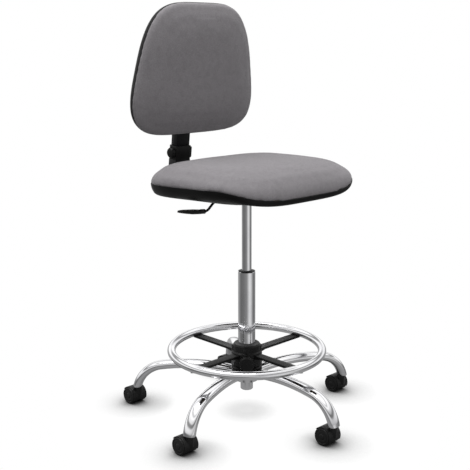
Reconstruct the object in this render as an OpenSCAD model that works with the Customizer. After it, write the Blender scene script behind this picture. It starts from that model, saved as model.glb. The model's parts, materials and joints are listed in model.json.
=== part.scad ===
// Drafting chair: five-star base on twin-wheel castors, two-stage gas column,
// sliding foot ring, upholstered seat and a height-adjustable, tilting backrest.
// Frame: millimetres, +Z up, origin on the floor under the column, -Y is the chair's front.

/* [Base] */
// Radius of the circle that the castor stems stand on
stem_circle_r = 331; // [290:1:380]
// Height of the lower end of each arm
arm_end_z = 56; // [54:0.5:64]
// Height of the arm's centre line at the top of its arch
arm_top_z = 137; // [125:1:160]
// Width of the arm's flat-oval tube
arm_w = 36; // [30:1:38]
// Height of the arm's flat-oval tube
arm_h = 26; // [24:1:30]
// Wall of the arm's tube
arm_wall = 2; // [1.5:0.5:3]
// Radius of the arm's outer bend
arm_bend_r = 95; // [80:1:110]
// Outer radius of the welded centre hub
hub_r = 33; // [32:0.5:36]
// Height of the welded centre hub
hub_h = 44; // [38:1:50]
// Outer radius of the black collar over the arm roots
collar_r = 45; // [42:1:50]

/* [Castors] */
// Wheel diameter
wheel_d = 50; // [44:1:52]
// Width over both wheels
castor_w = 52; // [46:1:60]
// Gap between the two wheels
wheel_gap = 9; // [8:0.5:12]
// Distance of the axle behind the stem
castor_trail = 20; // [18:1:24]
// Thickness of the hood over the wheels
hood_t = 2; // [1.5:0.5:3]
// Diameter of the castor's axle
castor_axle_d = 5; // [4:0.5:6]
// Diameter of the stem inside the arm
stem_d = 11; // [10:0.5:11]
// Diameter of the stem inside the castor
stem_pivot_d = 6; // [5:0.5:6]

/* [Column] */
// Outer diameter of the stand tube
column_d = 50; // [45:1:52]
// Wall of the stand tube
column_wall = 2; // [1.5:0.5:3]
// Height of the top of the stand tube
column_top_z = 428; // [400:1:480]
// Height of the lower end of the stand tube's foot
column_foot_z = 70; // [66:1:80]
// Diameter of the foot below the hub
column_foot_d = 37; // [36:1:40]
// Length of the guide bush inside the stand tube
bush_l = 60; // [50:1:80]
// Outer diameter of the gas cylinder
cylinder_d = 28; // [26:1:30]
// Length of the gas cylinder
cylinder_l = 322; // [310:1:330]
// Diameter of the piston rod
rod_d = 10; // [8:1:12]

/* [Foot ring] */
// Radius of the ring to the middle of its tube
ring_r = 220; // [190:1:260]
// Diameter of the ring's tube
ring_tube_d = 24; // [20:1:26]
// Wall of the ring's tube
ring_wall = 1.5; // [1:0.5:2.5]
// Height of the ring's centre above the underside of its hub
ring_rise = 43; // [40:1:50]
// Height of the spoked hub
spider_h = 62; // [58:1:70]
// Outer radius of the hub's skirt
spider_r = 45; // [42:1:50]
// Width of a spoke
spoke_w = 27; // [20:1:30]
// Thickness of a spoke
spoke_t = 7; // [6:0.5:9]
// Diameter of the clamping knob
ring_knob_d = 44; // [36:1:44]

/* [Seat] */
// Half of the seat's width
seat_half_w = 256; // [230:1:280]
// Half of the seat's depth
seat_half_d = 225; // [205:1:250]
// Distance of the seat's middle in front of the column
seat_shift = 19; // [0:1:40]
// Height of the seam at the rear edge
seam_rear_z = 690; // [684:1:700]
// Rise of the seam from the rear edge to the middle
seam_rise = 10; // [6:1:14]
// Drop of the waterfall at the front edge
waterfall = 36; // [20:1:44]
// Height of the crown of the seat
crown_z = 748; // [735:1:760]
// Depth of the black shell below the seam
shell_depth = 33; // [26:1:38]
// Wall of the seat shell
shell_wall = 3; // [2:0.5:4]
// Thickness of the seat's plywood
board_t = 11; // [9:1:12]

/* [Mechanism] */
// Underside of the mechanism
mech_z = 636; // [632:1:644]
// Half of the width of the mechanism's channel
mech_half_w = 52; // [46:1:60]
// Thickness of the mechanism's steel
mech_wall = 3; // [2:0.5:4]
// Spacing of the mounting bolts across the chair
bolt_x = 150; // [140:5:160]
// Spacing of the mounting bolts along the chair
bolt_y = 165; // [150:5:175]
// Diameter of the mounting bolts
bolt_d = 8; // [6:1:8]
// Diameter of the lever's rod
lever_d = 7; // [6:0.5:8]
// Length of the lever's paddle
paddle_l = 92; // [70:1:110]
// Width of the lever's paddle
paddle_w = 30; // [24:1:36]
// Distance of the tilt pin behind the column
tilt_y = 108; // [100:1:112]
// Diameter of the tilt pin
tilt_pin_d = 10; // [8:1:12]

/* [Back] */
// Half of the backrest's width at mid height
back_half_w = 219; // [190:1:240]
// Half of the backrest's height
back_half_h = 190; // [170:1:205]
// Share by which the backrest narrows towards its top
back_taper = 0.177; // [0.1:0.01:0.22]
// Lean of the backrest towards the front, in degrees
back_lean = 6.5; // [0:0.5:8]
// Distance of the backrest's seam behind the column
back_y = 205; // [195:1:225]
// Height of the backrest's middle
back_z = 995; // [985:1:1030]
// Thickness of the backrest's cushion at its middle
back_crown = 36; // [26:1:44]
// Depth of the backrest's shell
back_depth = 34; // [30:1:36]
// Thickness of the backrest's plywood
back_board_t = 10; // [8:1:12]
// Width of the upright bar
upright_w = 50; // [44:1:54]
// Thickness of the upright bar
upright_t = 25; // [20:1:27]
// Distance of the upright's middle behind the backrest's seam
upright_back = 52; // [50:1:58]
// Distance of the height clamp below the backrest's middle
clamp_drop = 255; // [250:1:270]
// Height of the clamp's housing
clamp_h = 42; // [36:1:50]

/* [Hidden] */
CASTORS = 5;
$fn = 64;

BLACK = [0.09, 0.09, 0.10];
RUBBER = [0.05, 0.05, 0.05];
CHROME = [0.82, 0.83, 0.85];
STEEL = [0.62, 0.63, 0.65];
FABRIC = [0.42, 0.41, 0.43];
WOOD = [0.72, 0.58, 0.40];

run = 0.05;     // radial clearance of a running fit
gap = 0.3;      // gap between pieces that only pass each other
eps = 0.01;     // overlap inside one piece, so that its shapes join
cut = 1;        // how far a cutting shape runs past what it cuts

// arms: a long flat arch that runs on into a tighter bend
arch_r = 600;
join_a = 10;
bend_c_z = arm_top_z - arch_r * (1 - cos(join_a)) - arm_bend_r * cos(join_a);
arm_end_r = stem_circle_r + 2.7;   // the tube still leans a little where the stem goes in
bend_c_r = arm_end_r - sqrt(pow(arm_bend_r, 2) - pow(arm_end_z - bend_c_z, 2));
arch_c_r = bend_c_r + (arm_bend_r - arch_r) * sin(join_a);
arch_c_z = arm_top_z - arch_r;
root_a = asin((arch_c_r - hub_r / 2) / arch_r);
root_z = arch_c_z + arch_r * cos(root_a);

// centre of the base
hub_bottom_z = root_z - hub_h / 2;
hub_top_z = hub_bottom_z + hub_h;
collar_top_t = 3;
collar_top_z = hub_top_z + gap + collar_top_t;
taper_drop = 1.3;       // how much the stand tube's radius shrinks through the hub
column_r = column_d / 2;
column_in_r = column_r - column_wall;
foot_r = column_foot_d / 2;
foot_floor_t = 4;

// castors
wheel_r = wheel_d / 2;
wheel_w = (castor_w - wheel_gap) / 2;
web_t = wheel_gap - 1;
hood_in_r = wheel_r + 0.6;
hood_r = hood_in_r + hood_t;
castor_top_z = arm_end_z - 0.5;
stem_seat_z = wheel_r - 3;
stem_in_l = 18;
socket_r = stem_d / 2 + 2.6;

// gas column
rod_r = rod_d / 2;
bearing_z = column_foot_z + foot_floor_t;
race_t = 2;
ball_r = 1.5;
bearing_h = 2 * race_t + 2 * ball_r;
bearing_r = foot_r - column_wall - 1.5;
rod_collar_z = bearing_z + bearing_h + gap;
rod_collar_t = 3;
buffer_h = 16;
cyl_r = cylinder_d / 2;
cyl_in_r = cyl_r - 2;
cyl_top_z = mech_z + 28;
cyl_bottom_z = cyl_top_z - cylinder_l;
guide_t = 16;
cap_t = 20;
piston_z = cyl_bottom_z + guide_t + 6;
piston_t = 12;
cyl_taper_z = mech_z + 2;
cyl_taper = 0.9;        // how much the cylinder's radius shrinks inside the mechanism
valve_r = 2.5;
valve_out = 6;

// foot ring, at its lowest place
spider_z = collar_top_z + gap + 3 + gap;
ring_z = spider_z + ring_rise;
ring_tube_r = ring_tube_d / 2;
liner_t = 4;
liner_flange = 3;
liner_r = column_r + run + liner_t;
spoke_top = ring_rise - 7.5;
spoke_end_r = ring_r - 1;
screw_circle_r = ring_r - 6;
ring_knob_a = 225;
ring_knob_z = spider_z + 18;
ring_knob_t = 20;
ring_stud_r = 4;
spider_lobe_r = 12;
screw_r = 2.5;

// seat
SEAT_N = [3.7, 4.03];
seat_narrow = 0.022;
RING_PTS = 72;
BOARD_Q = [0.3, 0.6, 0.7, 0.8, 0.9, 1];
flat_share = 0.6;      // share of the board that is flat under the mechanism
board_top_z = mech_z + 62;
flange_z = board_top_z - board_t - mech_wall;
shell_flat_z = mech_z + 16;
board_inset = 16;
board_gap = 0.8;        // the cushion's underside and the plywood are cut into different triangles
shell_window_x = 105;
shell_window_y = [-125, 130];
lever_slot_x = 145;     // how far out the shell is open for the lever
lever_slot_w = 13;

// mechanism
mech_front_y = -70;
mech_rear_y = tilt_y + 22;
flange_half_x = bolt_x / 2 + 16;
flange_front_y = -bolt_y / 2 - 13;
flange_rear_y = bolt_y / 2 + 13;
boss_r = cyl_r + 8;
lever_x = -40;
lever_z = mech_z + 9;
lug_t = 4;
trunnion_l = 26;
trunnion_r = 3;
lever_out = 78;         // straight run of the rod outside its pivot
lever_bend_r = 22;
lever_slope_a = 40;     // how steeply the rod drops beyond the shell
lever_drop_l = 17;
paddle_t = 9;
lever_end_a = 6;        // rise of the paddle towards its tip
tilt_z = mech_z + 12;
tilt_tube_r = tilt_pin_d / 2 + run + 4;
tilt_tube_l = 80;
spring_wire_r = 1.5;
spring_r = tilt_tube_r + spring_wire_r + 0.8;
spring_turns = 4;
SPRING_STEPS = 18;

// back
BACK_N = [4.5, 3.03];
back_wall = 3;
back_board_inset = 14;
sleeve_wall = 3;
sleeve_fit = 0.4;
sleeve_out_x = upright_w / 2 + sleeve_fit + sleeve_wall;
sleeve_out_y = upright_t / 2 + sleeve_fit + sleeve_wall;
sleeve_bottom = -clamp_drop - 105;
sleeve_top = -clamp_drop - clamp_h / 2;
upright_bottom = -clamp_drop - 57;
upright_top = 40;
arm_bar_w = 40;
arm_bar_t = 8;
plate_x = 90;
plate_low = -85;
plate_high = 45;
back_bolt_x = 64;
back_bolt_z = [-65, 25];
knob_r = 15.5;
knob_t = 12;
knob_stud_r = 4;

function sgnpow(c, e) = sign(c) * pow(abs(c), e);
function mix(a, b, t) = a + (b - a) * t;
function clamp01(t) = min(1, max(0, t));
function smooth01(t) = clamp01(t) * clamp01(t) * (3 - 2 * clamp01(t));

// A flat-oval outline, its height along X and its width along Y
module flat_oval(h, w) {
    for (side = [-1, 1]) translate([0, side * (w - h) / 2]) circle(d = h);
    square([h, w - h], center = true);
}

// Stations along the arm's centre line: radius, height and fall of the path there
function arc_station(c, r, a) = [c[0] + r * sin(a), c[1] + r * cos(a), -a];

ARM_PATH = concat(
    [for (k = [0:3]) arc_station([arch_c_r, arch_c_z], arch_r, mix(-root_a, join_a, k / 4))],
    [for (k = [0:9]) arc_station([bend_c_r, bend_c_z], arm_bend_r, mix(join_a, 88, k / 9))]
);

// A section of a tube at a station, h high and w wide, with e as the power of its outline
function tube_ring(station, h, w, e, n) = [for (i = [0:n - 1])
    let (t = -360 * i / n, k = h / 2 * sgnpow(cos(t), e), a = station[2])
    [station[0] - k * sin(a), w / 2 * sgnpow(sin(t), e), station[1] + k * cos(a)]];

function arm_rings(extra) = [for (s = ARM_PATH) tube_ring(s, arm_h + 2 * extra, arm_w + 2 * extra, 0.85, 24)];

module below(z) {
    translate([-500, -500, z - 500]) cube([1500, 1000, 500]);
}

module arm_place(i) {
    rotate([0, 0, -90 + 360 / CASTORS * (i - 1)]) children();
}

module base_hub() {
    color(CHROME) translate([0, 0, hub_bottom_z]) difference() {
        cylinder(r = hub_r, h = hub_h);
        translate([0, 0, -eps]) cylinder(r1 = column_r - taper_drop, r2 = column_r, h = hub_h + 2 * eps);
    }
}

module base_arm(i) {
    inner = arm_rings(-arm_wall);
    color(CHROME) arm_place(i) difference() {
        loft(concat(arm_rings(0), [for (k = [len(inner) - 1:-1:0]) inner[k]]), loop = true);
        below(arm_end_z);
        cylinder(r = hub_r, h = 300);
    }
}

module base_collar() {
    notch_gap = 1.2;
    low_z = root_z - arm_h / 2 + 4;
    notch_a = -asin((arch_c_r - collar_r) / arch_r);
    notch_z = arch_c_z + arch_r * cos(notch_a) + collar_r * tan(notch_a);
    color(BLACK) difference() {
        union() {
            translate([0, 0, low_z]) cylinder(r = collar_r, h = collar_top_z - 4 - low_z);
            translate([0, 0, collar_top_z - 4 - eps]) cylinder(r1 = collar_r, r2 = collar_r - 4, h = 4 + eps);
        }
        translate([0, 0, low_z - cut]) cylinder(r = hub_r + gap, h = hub_top_z + gap - low_z + cut);
        cylinder(r = column_r + gap, h = 300);
        for (i = [1:CASTORS]) arm_place(i) translate([0, 0, notch_z]) rotate([0, 90 + notch_a, 0])
            linear_extrude(2 * collar_r) flat_oval(arm_h + 2 * notch_gap, arm_w + 2 * notch_gap);
    }
}

module castor_sockets() {
    plug_t = 3;
    color(BLACK) for (i = [1:CASTORS]) arm_place(i) difference() {
        union() {
            translate([arm_end_r - 0.4, 0, arm_end_z]) linear_extrude(plug_t)
                flat_oval(arm_h - 2 * arm_wall - 1.5, arm_w - 2 * arm_wall - 1.5);
            translate([stem_circle_r, 0, arm_end_z]) cylinder(r = socket_r, h = stem_in_l);
        }
        translate([stem_circle_r, 0, arm_end_z - cut]) cylinder(d = stem_d, h = stem_in_l + 2 * cut);
    }
}

module castor_place(i) {
    a = -90 + 360 / CASTORS * (i - 1);
    translate([stem_circle_r * cos(a), stem_circle_r * sin(a), 0]) children();
}

module castor_stems() {
    color(STEEL) for (i = [1:CASTORS]) castor_place(i) {
        translate([0, 0, arm_end_z]) cylinder(d = stem_d, h = stem_in_l);
        translate([0, 0, stem_seat_z + gap]) cylinder(d = stem_pivot_d, h = arm_end_z - stem_seat_z);
    }
}

// A sector of a ring about the axle, as thick as w along X, from angle a1 to a2 in the YZ plane
module hood_sector(r1, r2, w, a1, a2) {
    translate([-w / 2, castor_trail, wheel_r]) rotate([90, 0, 90]) rotate([0, 0, a1])
        rotate_extrude_flat(r1, r2, w, a2 - a1);
}

module rotate_extrude_flat(r1, r2, w, a) {
    rotate_extrude(angle = a) translate([r1, 0]) square([r2 - r1, w]);
}

module castor_housing() {
    hood_w = castor_w - 5;
    boss = 11;
    color(BLACK) difference() {
        union() {
            hood_sector(hood_in_r, hood_r, hood_w, 38, 205);
            hood_sector(0, hood_r - eps, web_t, 38, 205);
            hood_sector(0, wheel_r - 8, web_t, 0, 360);
            intersection() {
                translate([0, 0, wheel_r]) cylinder(r = boss, h = castor_top_z - wheel_r);
                difference() {
                    translate([-50, -50, 0]) cube([100, 100, 100]);
                    translate([-50, castor_trail, wheel_r]) rotate([0, 90, 0])
                        cylinder(r = hood_r - 1, h = 100);
                }
            }
        }
        translate([0, 0, stem_seat_z]) cylinder(d = stem_pivot_d + 2 * run, h = 60);
        translate([-50, castor_trail, wheel_r]) rotate([0, 90, 0]) cylinder(d = castor_axle_d, h = 100);
    }
}

module castor_axle() {
    color(STEEL) translate([-castor_w / 2 + 4, castor_trail, wheel_r]) rotate([0, 90, 0])
        cylinder(d = castor_axle_d, h = castor_w - 8);
}

// One wheel, with its inner face towards the web; side is -1 for left and 1 for right
module castor_wheel(side) {
    edge = 3;
    dish = 1.2;
    bore_l = castor_w / 2 - 3.5 - wheel_gap / 2;
    color(RUBBER) translate([side * wheel_gap / 2, castor_trail, wheel_r]) rotate([0, side * 90, 0])
        rotate_extrude($fn = 96) polygon([
            [castor_axle_d / 2 + run, 0], [wheel_r - 1, 0], [wheel_r, 1],
            [wheel_r, wheel_w - edge], [wheel_r - 0.9, wheel_w - 0.9], [wheel_r - edge, wheel_w],
            [wheel_r - edge - 2, wheel_w], [wheel_r - edge - 3.5, wheel_w - dish],
            [8, wheel_w - dish], [7, wheel_w - 0.4], [0, wheel_w - 0.4],
            [0, bore_l], [castor_axle_d / 2 + run, bore_l]
        ]);
}

module column_tube() {
    floor_z = column_foot_z + foot_floor_t;
    color(CHROME) rotate_extrude() polygon([
        [rod_r + run, column_foot_z], [foot_r - 2, column_foot_z], [foot_r, column_foot_z + 2],
        [foot_r, hub_bottom_z - 3], [column_r - taper_drop, hub_bottom_z],
        [column_r, hub_top_z], [column_r, column_top_z - 1], [column_r - 1, column_top_z],
        [column_in_r, column_top_z], [column_in_r, hub_bottom_z + 12],
        [foot_r - column_wall, hub_bottom_z], [foot_r - column_wall, floor_z],
        [rod_r + run, floor_z]
    ]);
}

module column_bush() {
    lip = 3;
    color(BLACK) rotate_extrude() polygon([
        [cyl_r + run, column_top_z - bush_l], [column_in_r, column_top_z - bush_l],
        [column_in_r, column_top_z], [column_r - 0.6, column_top_z],
        [column_r - 0.6, column_top_z + 1], [cyl_r + 4, column_top_z + lip],
        [cyl_r + run, column_top_z + lip]
    ]);
}

module bearing_race(z) {
    translate([0, 0, z]) difference() {
        cylinder(r = bearing_r, h = race_t);
        translate([0, 0, -cut]) cylinder(r = rod_r + run, h = race_t + 2 * cut);
    }
}

module thrust_bearing() {
    balls = 12;
    ball_circle = (bearing_r + rod_r) / 2;
    color(STEEL) {
        bearing_race(bearing_z);
        bearing_race(bearing_z + race_t + 2 * ball_r);
        for (i = [1:balls]) rotate([0, 0, 360 / balls * i])
            translate([ball_circle, 0, bearing_z + race_t + ball_r]) sphere(r = ball_r - 0.02, $fn = 24);
    }
}

module retaining_clip() {
    color(STEEL) translate([0, 0, column_foot_z - 2]) difference() {
        cylinder(r = rod_r + 4, h = 1.5);
        translate([0, 0, -cut]) cylinder(r = rod_r - 1, h = 5);
        translate([0, -rod_r + 2, -cut]) cube([20, 2 * rod_r - 4, 5]);
    }
}

module piston_rod() {
    groove_z = column_foot_z - 2;
    color(STEEL) rotate_extrude() polygon([
        [0, groove_z - 3], [rod_r - 1, groove_z - 3], [rod_r, groove_z - 2], [rod_r, groove_z],
        [rod_r - 1, groove_z], [rod_r - 1, groove_z + 1.5], [rod_r, groove_z + 1.5],
        [rod_r, rod_collar_z], [bearing_r - 2, rod_collar_z],
        [bearing_r - 2, rod_collar_z + rod_collar_t], [rod_r, rod_collar_z + rod_collar_t],
        [rod_r, piston_z], [cyl_in_r - run, piston_z], [cyl_in_r - run, piston_z + piston_t],
        [0, piston_z + piston_t]
    ]);
}

module rubber_buffer() {
    color(RUBBER) translate([0, 0, rod_collar_z + rod_collar_t]) difference() {
        cylinder(r = bearing_r - 1, h = buffer_h);
        translate([0, 0, -cut]) cylinder(r = rod_r, h = buffer_h + 2 * cut);
    }
}

module pressure_tube() {
    color(CHROME) rotate_extrude() polygon([
        [rod_r + run, cyl_bottom_z], [cyl_r - 1, cyl_bottom_z], [cyl_r, cyl_bottom_z + 1],
        [cyl_r, cyl_taper_z], [cyl_r - cyl_taper, cyl_top_z],
        [valve_r + run, cyl_top_z], [valve_r + run, cyl_top_z - cap_t],
        [cyl_in_r, cyl_top_z - cap_t], [cyl_in_r, cyl_bottom_z + guide_t],
        [rod_r + run, cyl_bottom_z + guide_t]
    ]);
}

module valve_button() {
    color(STEEL) translate([0, 0, cyl_top_z - cap_t + 8]) cylinder(r = valve_r, h = cap_t - 8 + valve_out);
}

module ring_torus(r) {
    rotate_extrude($fn = 128) translate([ring_r, 0]) circle(r = r);
}

module footring_tube() {
    screw_in = ring_tube_r - 3;
    color(CHROME) translate([0, 0, ring_z]) difference() {
        ring_torus(ring_tube_r);
        ring_torus(ring_tube_r - ring_wall);
        for (a = [0:90:270]) rotate([0, 0, a])
            translate([screw_circle_r, 0, -ring_tube_r]) cylinder(r = screw_r, h = screw_in);
    }
}

module spoke() {
    root = 20;          // how far the spoke is deeper next to the hub
    rotate([90, 0, 0]) translate([0, 0, -spoke_w / 2]) linear_extrude(spoke_w) polygon([
        [spider_r - 8, spoke_top - spoke_t - 4], [spider_r + 2, spoke_top - spoke_t - 4],
        [spider_r + root, spoke_top - spoke_t], [spoke_end_r, spoke_top - spoke_t],
        [spoke_end_r, spoke_top - 1.5], [spoke_end_r - 1.5, spoke_top], [spider_r - 8, spoke_top]
    ]);
}

module footring_hub() {
    bore_r = liner_r + run;
    skirt_h = spoke_top + 2;
    rim = 4;
    color(BLACK) translate([0, 0, spider_z]) difference() {
        union() {
            cylinder(r = spider_r, h = skirt_h);
            translate([0, 0, skirt_h - eps]) cylinder(r1 = spider_r, r2 = spider_r - rim, h = rim);
            cylinder(r = spider_r - rim - 1, h = spider_h - 4);
            translate([0, 0, spider_h - 4 - eps])
                cylinder(r1 = spider_r - rim - 1, r2 = spider_r - 2 * rim, h = 4);
            for (a = [0:90:270]) rotate([0, 0, a]) {
                spoke();
                rotate([0, 0, 45]) translate([spider_r - spider_lobe_r - 1, 0, 0])
                    cylinder(r = spider_lobe_r, h = spider_h - 6);
            }
            rotate([0, 0, ring_knob_a]) translate([0, 0, ring_knob_z - spider_z])
                rotate([0, 90, 0]) cylinder(r = 9, h = spider_r + 5);
        }
        translate([0, 0, -cut]) cylinder(r = bore_r, h = spider_h + 2 * cut);
        translate([0, 0, ring_rise]) ring_torus(ring_tube_r);
        for (a = [0:90:270]) rotate([0, 0, a])
            translate([screw_circle_r, 0, spoke_top - spoke_t - cut]) cylinder(r = screw_r, h = 20);
        rotate([0, 0, ring_knob_a]) translate([0, 0, ring_knob_z - spider_z])
            rotate([0, 90, 0]) cylinder(r = ring_stud_r + run, h = 100);
        translate([0, 0, -50]) cylinder(r = 300, h = 50);
    }
}

module footring_liner() {
    color(BLACK) translate([0, 0, spider_z - gap - liner_flange]) difference() {
        union() {
            cylinder(r = liner_r + 5, h = liner_flange);
            cylinder(r = liner_r, h = liner_flange + gap + spider_h);
        }
        translate([0, 0, -cut]) cylinder(r = column_r + run, h = spider_h + 20);
    }
}

module footring_screws() {
    head = 3;
    color(STEEL) for (a = [0:90:270]) rotate([0, 0, a])
        translate([screw_circle_r, 0, spider_z + spoke_top - spoke_t]) {
            cylinder(r = screw_r, h = spoke_t + 1.5);
            translate([0, 0, -head]) cylinder(r = 4.5, h = head);
        }
}

module footring_knob() {
    stud_l = spider_r + 7 - liner_r - 0.2;
    lobes = 10;
    color(BLACK) rotate([0, 0, ring_knob_a]) translate([0, 0, ring_knob_z]) rotate([0, 90, 0]) {
        translate([0, 0, liner_r + 0.2]) cylinder(r = ring_stud_r, h = stud_l);
        translate([0, 0, spider_r + 5 + gap]) difference() {
            union() {
                cylinder(r = 13, h = ring_knob_t - 4);
                translate([0, 0, 4]) cylinder(d = ring_knob_d, h = ring_knob_t - 8);
                translate([0, 0, ring_knob_t - 4 - eps])
                    cylinder(d1 = ring_knob_d, d2 = ring_knob_d - 8, h = 4);
            }
            for (i = [1:lobes]) rotate([0, 0, 360 / lobes * i])
                translate([ring_knob_d / 2 + 4, 0, -cut]) cylinder(r = 6, h = ring_knob_t + 2 * cut);
        }
    }
}

// Outline of the seat, shrunk inwards by inset
function seat_ring(inset) = [for (i = [0:RING_PTS - 1])
    let (t = 360 * i / RING_PTS,
         v = (seat_half_d - inset) * sgnpow(sin(t), 2 / SEAT_N[1]),
         u = (seat_half_w - inset) * (1 - seat_narrow * v / seat_half_d) * sgnpow(cos(t), 2 / SEAT_N[0]))
    [u, v]];

// Height of the seam at the depth v from the seat's middle
function seam_z(v) = let (s = v / seat_half_d)
    seam_rear_z + seam_rise * (1 - s) - waterfall * pow(max(0, -0.5 - s) / 0.5, 2);

// Height of the plywood's upper face: flat in the middle, on the seam at the edge
function board_z(v, q) = mix(board_top_z, seam_z(v), smooth01((q - flat_share) / (1 - flat_share)));

function lift(ring, heights) = [for (i = [0:len(ring) - 1])
    [ring[i][0], ring[i][1] - seat_shift, heights[i]]];

function board_ring(inset, q, drop) =
    let (edge = seat_ring(inset), ring = [for (p = edge) q * p])
    lift(ring, [for (p = ring) board_z(p[1], q) - drop]);

// Centre of a ring, as the point that closes it
function middle(ring) = let (n = len(ring)) [for (k = [0:2]) [for (p = ring) p[k]] * [for (p = ring) 1 / n]];

// A closed skin through a list of rings that all have the same number of points.
// With loop, the last ring joins the first, as on a tube's outer and inner walls.
module loft(rings, loop = false) {
    n = len(rings[0]);
    m = len(rings);
    points = concat([for (r = rings) each r], [middle(rings[0]), middle(rings[m - 1])]);
    sides = [for (j = [0:loop ? m - 1 : m - 2], i = [0:n - 1])
        let (k = (i + 1) % n, a = j * n, b = (j + 1) % m * n)
        each [[a + i, b + i, a + k], [a + k, b + i, b + k]]];
    low = [for (i = [0:n - 1]) [n * m, i, (i + 1) % n]];
    high = [for (i = [0:n - 1]) [n * m + 1, (m - 1) * n + (i + 1) % n, (m - 1) * n + i]];
    polyhedron(points = points, faces = loop ? sides : concat(sides, low, high), convexity = 8);
}

// Underside of the shell at inset: on the side it follows the seam, further in it is flat
function shell_ring(inset, depth, blend) =
    let (ring = seat_ring(inset))
    lift(ring, [for (p = ring) let (s = p[1] / seat_half_d)
        mix(seam_z(p[1]) - depth * (0.95 + 0.2 * s), shell_flat_z, blend)]);

module seat_shell() {
    d = shell_depth;
    w = shell_wall;
    outer = [
        shell_ring(2, 0.5, 0), shell_ring(3, 0.25 * d, 0), shell_ring(5.5, 0.5 * d, 0),
        shell_ring(10, 0.78 * d, 0), shell_ring(18, 0.93 * d, 0.08), shell_ring(34, d, 0.3),
        shell_ring(60, d, 0.6), shell_ring(95, d, 0.9), shell_ring(130, d, 1)
    ];
    inner = [for (i = [len(outer) - 1:-1:0])
        let (in_inset = [5, 6, 8.5, 13, 20.5, 36, 61, 95, 129][i],
             in_depth = [0.5, 0.22 * d, 0.44 * d, 0.7 * d, 0.82 * d, 0.9 * d, 0.9 * d, 0.9 * d, 0.9 * d][i],
             in_blend = [0, 0, 0, 0, 0.08, 0.3, 0.6, 0.9, 1][i],
             ring = shell_ring(in_inset, in_depth, in_blend))
        i < 5 ? ring : [for (p = ring) [p[0], p[1], p[2] + mix(0, w, (i - 4) / 2 > 1 ? 1 : (i - 4) / 2)]]];
    color(BLACK) difference() {
        loft(concat(inner, outer));
        translate([-shell_window_x, shell_window_y[0], shell_flat_z - 20])
            cube([2 * shell_window_x, shell_window_y[1] - shell_window_y[0], 60]);
        translate([-lever_slot_x, -lever_slot_w / 2, shell_flat_z - 20]) cube([lever_slot_x, lever_slot_w, 60]);
    }
}

module seat_bolt_place() {
    for (x = [-1, 1], y = [-1, 1]) translate([x * bolt_x / 2, y * bolt_y / 2, 0]) children();
}

module seat_board() {
    color(WOOD) difference() {
        loft(concat(
            [for (q = BOARD_Q) board_ring(board_inset, q, board_t)],
            [for (q = [for (k = [len(BOARD_Q) - 1:-1:0]) BOARD_Q[k]]) board_ring(board_inset, q, board_gap)]
        ));
        seat_bolt_place() cylinder(d = bolt_d, h = 2000);
    }
}

// The cushion's upper face: round at the seam, then a broad crown with a shallow dish
function crown_ring(a) =
    let (inset = 30 * (1 - cos(min(a, 90))) + max(0, a - 90) * 1.9,
         ring = seat_ring(inset),
         climb = pow(sin(min(a, 90)), 0.85) * mix(0.78, 1, clamp01((a - 60) / 60)))
    lift(ring, [for (p = ring) let (s = p[1] / seat_half_d)
        mix(seam_z(p[1]), crown_z - 30 * pow(max(0, -0.35 - s), 2) - 4 * pow(s, 2), climb)]);

module seat_cushion() {
    color(FABRIC) loft(concat(
        [for (q = BOARD_Q) board_ring(board_inset, q, 0)],
        [shell_ring(4, -0.3, 0), shell_ring(0.8, -0.6, 0)],
        [for (a = [8, 20, 35, 50, 65, 80, 95, 115, 140, 170]) crown_ring(a)]
    ));
}

module seat_mechanism() {
    channel_h = flange_z - mech_z + eps;
    inner_x = mech_half_w - mech_wall;
    lever_hole_r = lever_d / 2 + 2.2;
    color(BLACK) difference() {
        union() {
            difference() {
                translate([-mech_half_w, mech_front_y, mech_z])
                    cube([2 * mech_half_w, mech_rear_y - mech_front_y, channel_h]);
                translate([-inner_x, mech_front_y + mech_wall, mech_z + mech_wall])
                    cube([2 * inner_x, mech_rear_y - mech_front_y, channel_h]);
            }
            translate([-flange_half_x, flange_front_y, flange_z])
                cube([2 * flange_half_x, flange_rear_y - flange_front_y, mech_wall]);
            translate([0, 0, mech_z]) cylinder(r = boss_r, h = cyl_top_z - mech_z - 2);
            for (y = [-1, 1]) translate([lever_x - 7, y * (lever_d / 2 + 2 + lug_t / 2) - lug_t / 2, mech_z])
                cube([14, lug_t, lever_z - mech_z + 7]);
        }
        translate([-inner_x, mech_front_y + mech_wall, flange_z - eps])
            cube([2 * inner_x, flange_rear_y - mech_front_y - 12, mech_wall + 1]);
        translate([-inner_x, tilt_y - tilt_tube_r - 6, mech_z - cut])
            cube([2 * inner_x, 100, mech_wall + 2 * cut]);
        translate([0, 0, cyl_taper_z]) cylinder(r1 = cyl_r, r2 = cyl_r - cyl_taper, h = cyl_top_z - cyl_taper_z);
        translate([0, 0, mech_z - cut]) cylinder(r = cyl_r, h = cyl_taper_z - mech_z + cut + eps);
        translate([lever_x, -50, lever_z]) rotate([-90, 0, 0]) cylinder(r = trunnion_r + run, h = 100);
        translate([-mech_half_w - cut, 0, lever_z]) rotate([0, 90, 0])
            cylinder(r = lever_hole_r, h = mech_wall + 2 * cut);
        translate([-100, tilt_y, tilt_z]) rotate([0, 90, 0]) cylinder(d = tilt_pin_d, h = 200);
        translate([0, 0, flange_z - cut]) seat_bolt_place() cylinder(d = bolt_d, h = mech_wall + 2 * cut);
    }
}

module mechanism_bolts() {
    head = 5;
    color(STEEL) translate([0, 0, flange_z]) seat_bolt_place() {
        cylinder(d = bolt_d, h = mech_wall + board_t - 1);
        translate([0, 0, -head]) cylinder(d = 1.8 * bolt_d, h = head, $fn = 6);
    }
}

// Stations along the lever's rod, outwards from its pivot: straight, down, and level again
function lever_arc(x, z, side, a0, a1) = [for (k = [1:5]) let (a = mix(a0, a1, k / 5))
    [x - lever_bend_r * side * (sin(a) - sin(a0)), z - lever_bend_r * side * (cos(a0) - cos(a)), 180 + a]];

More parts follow.
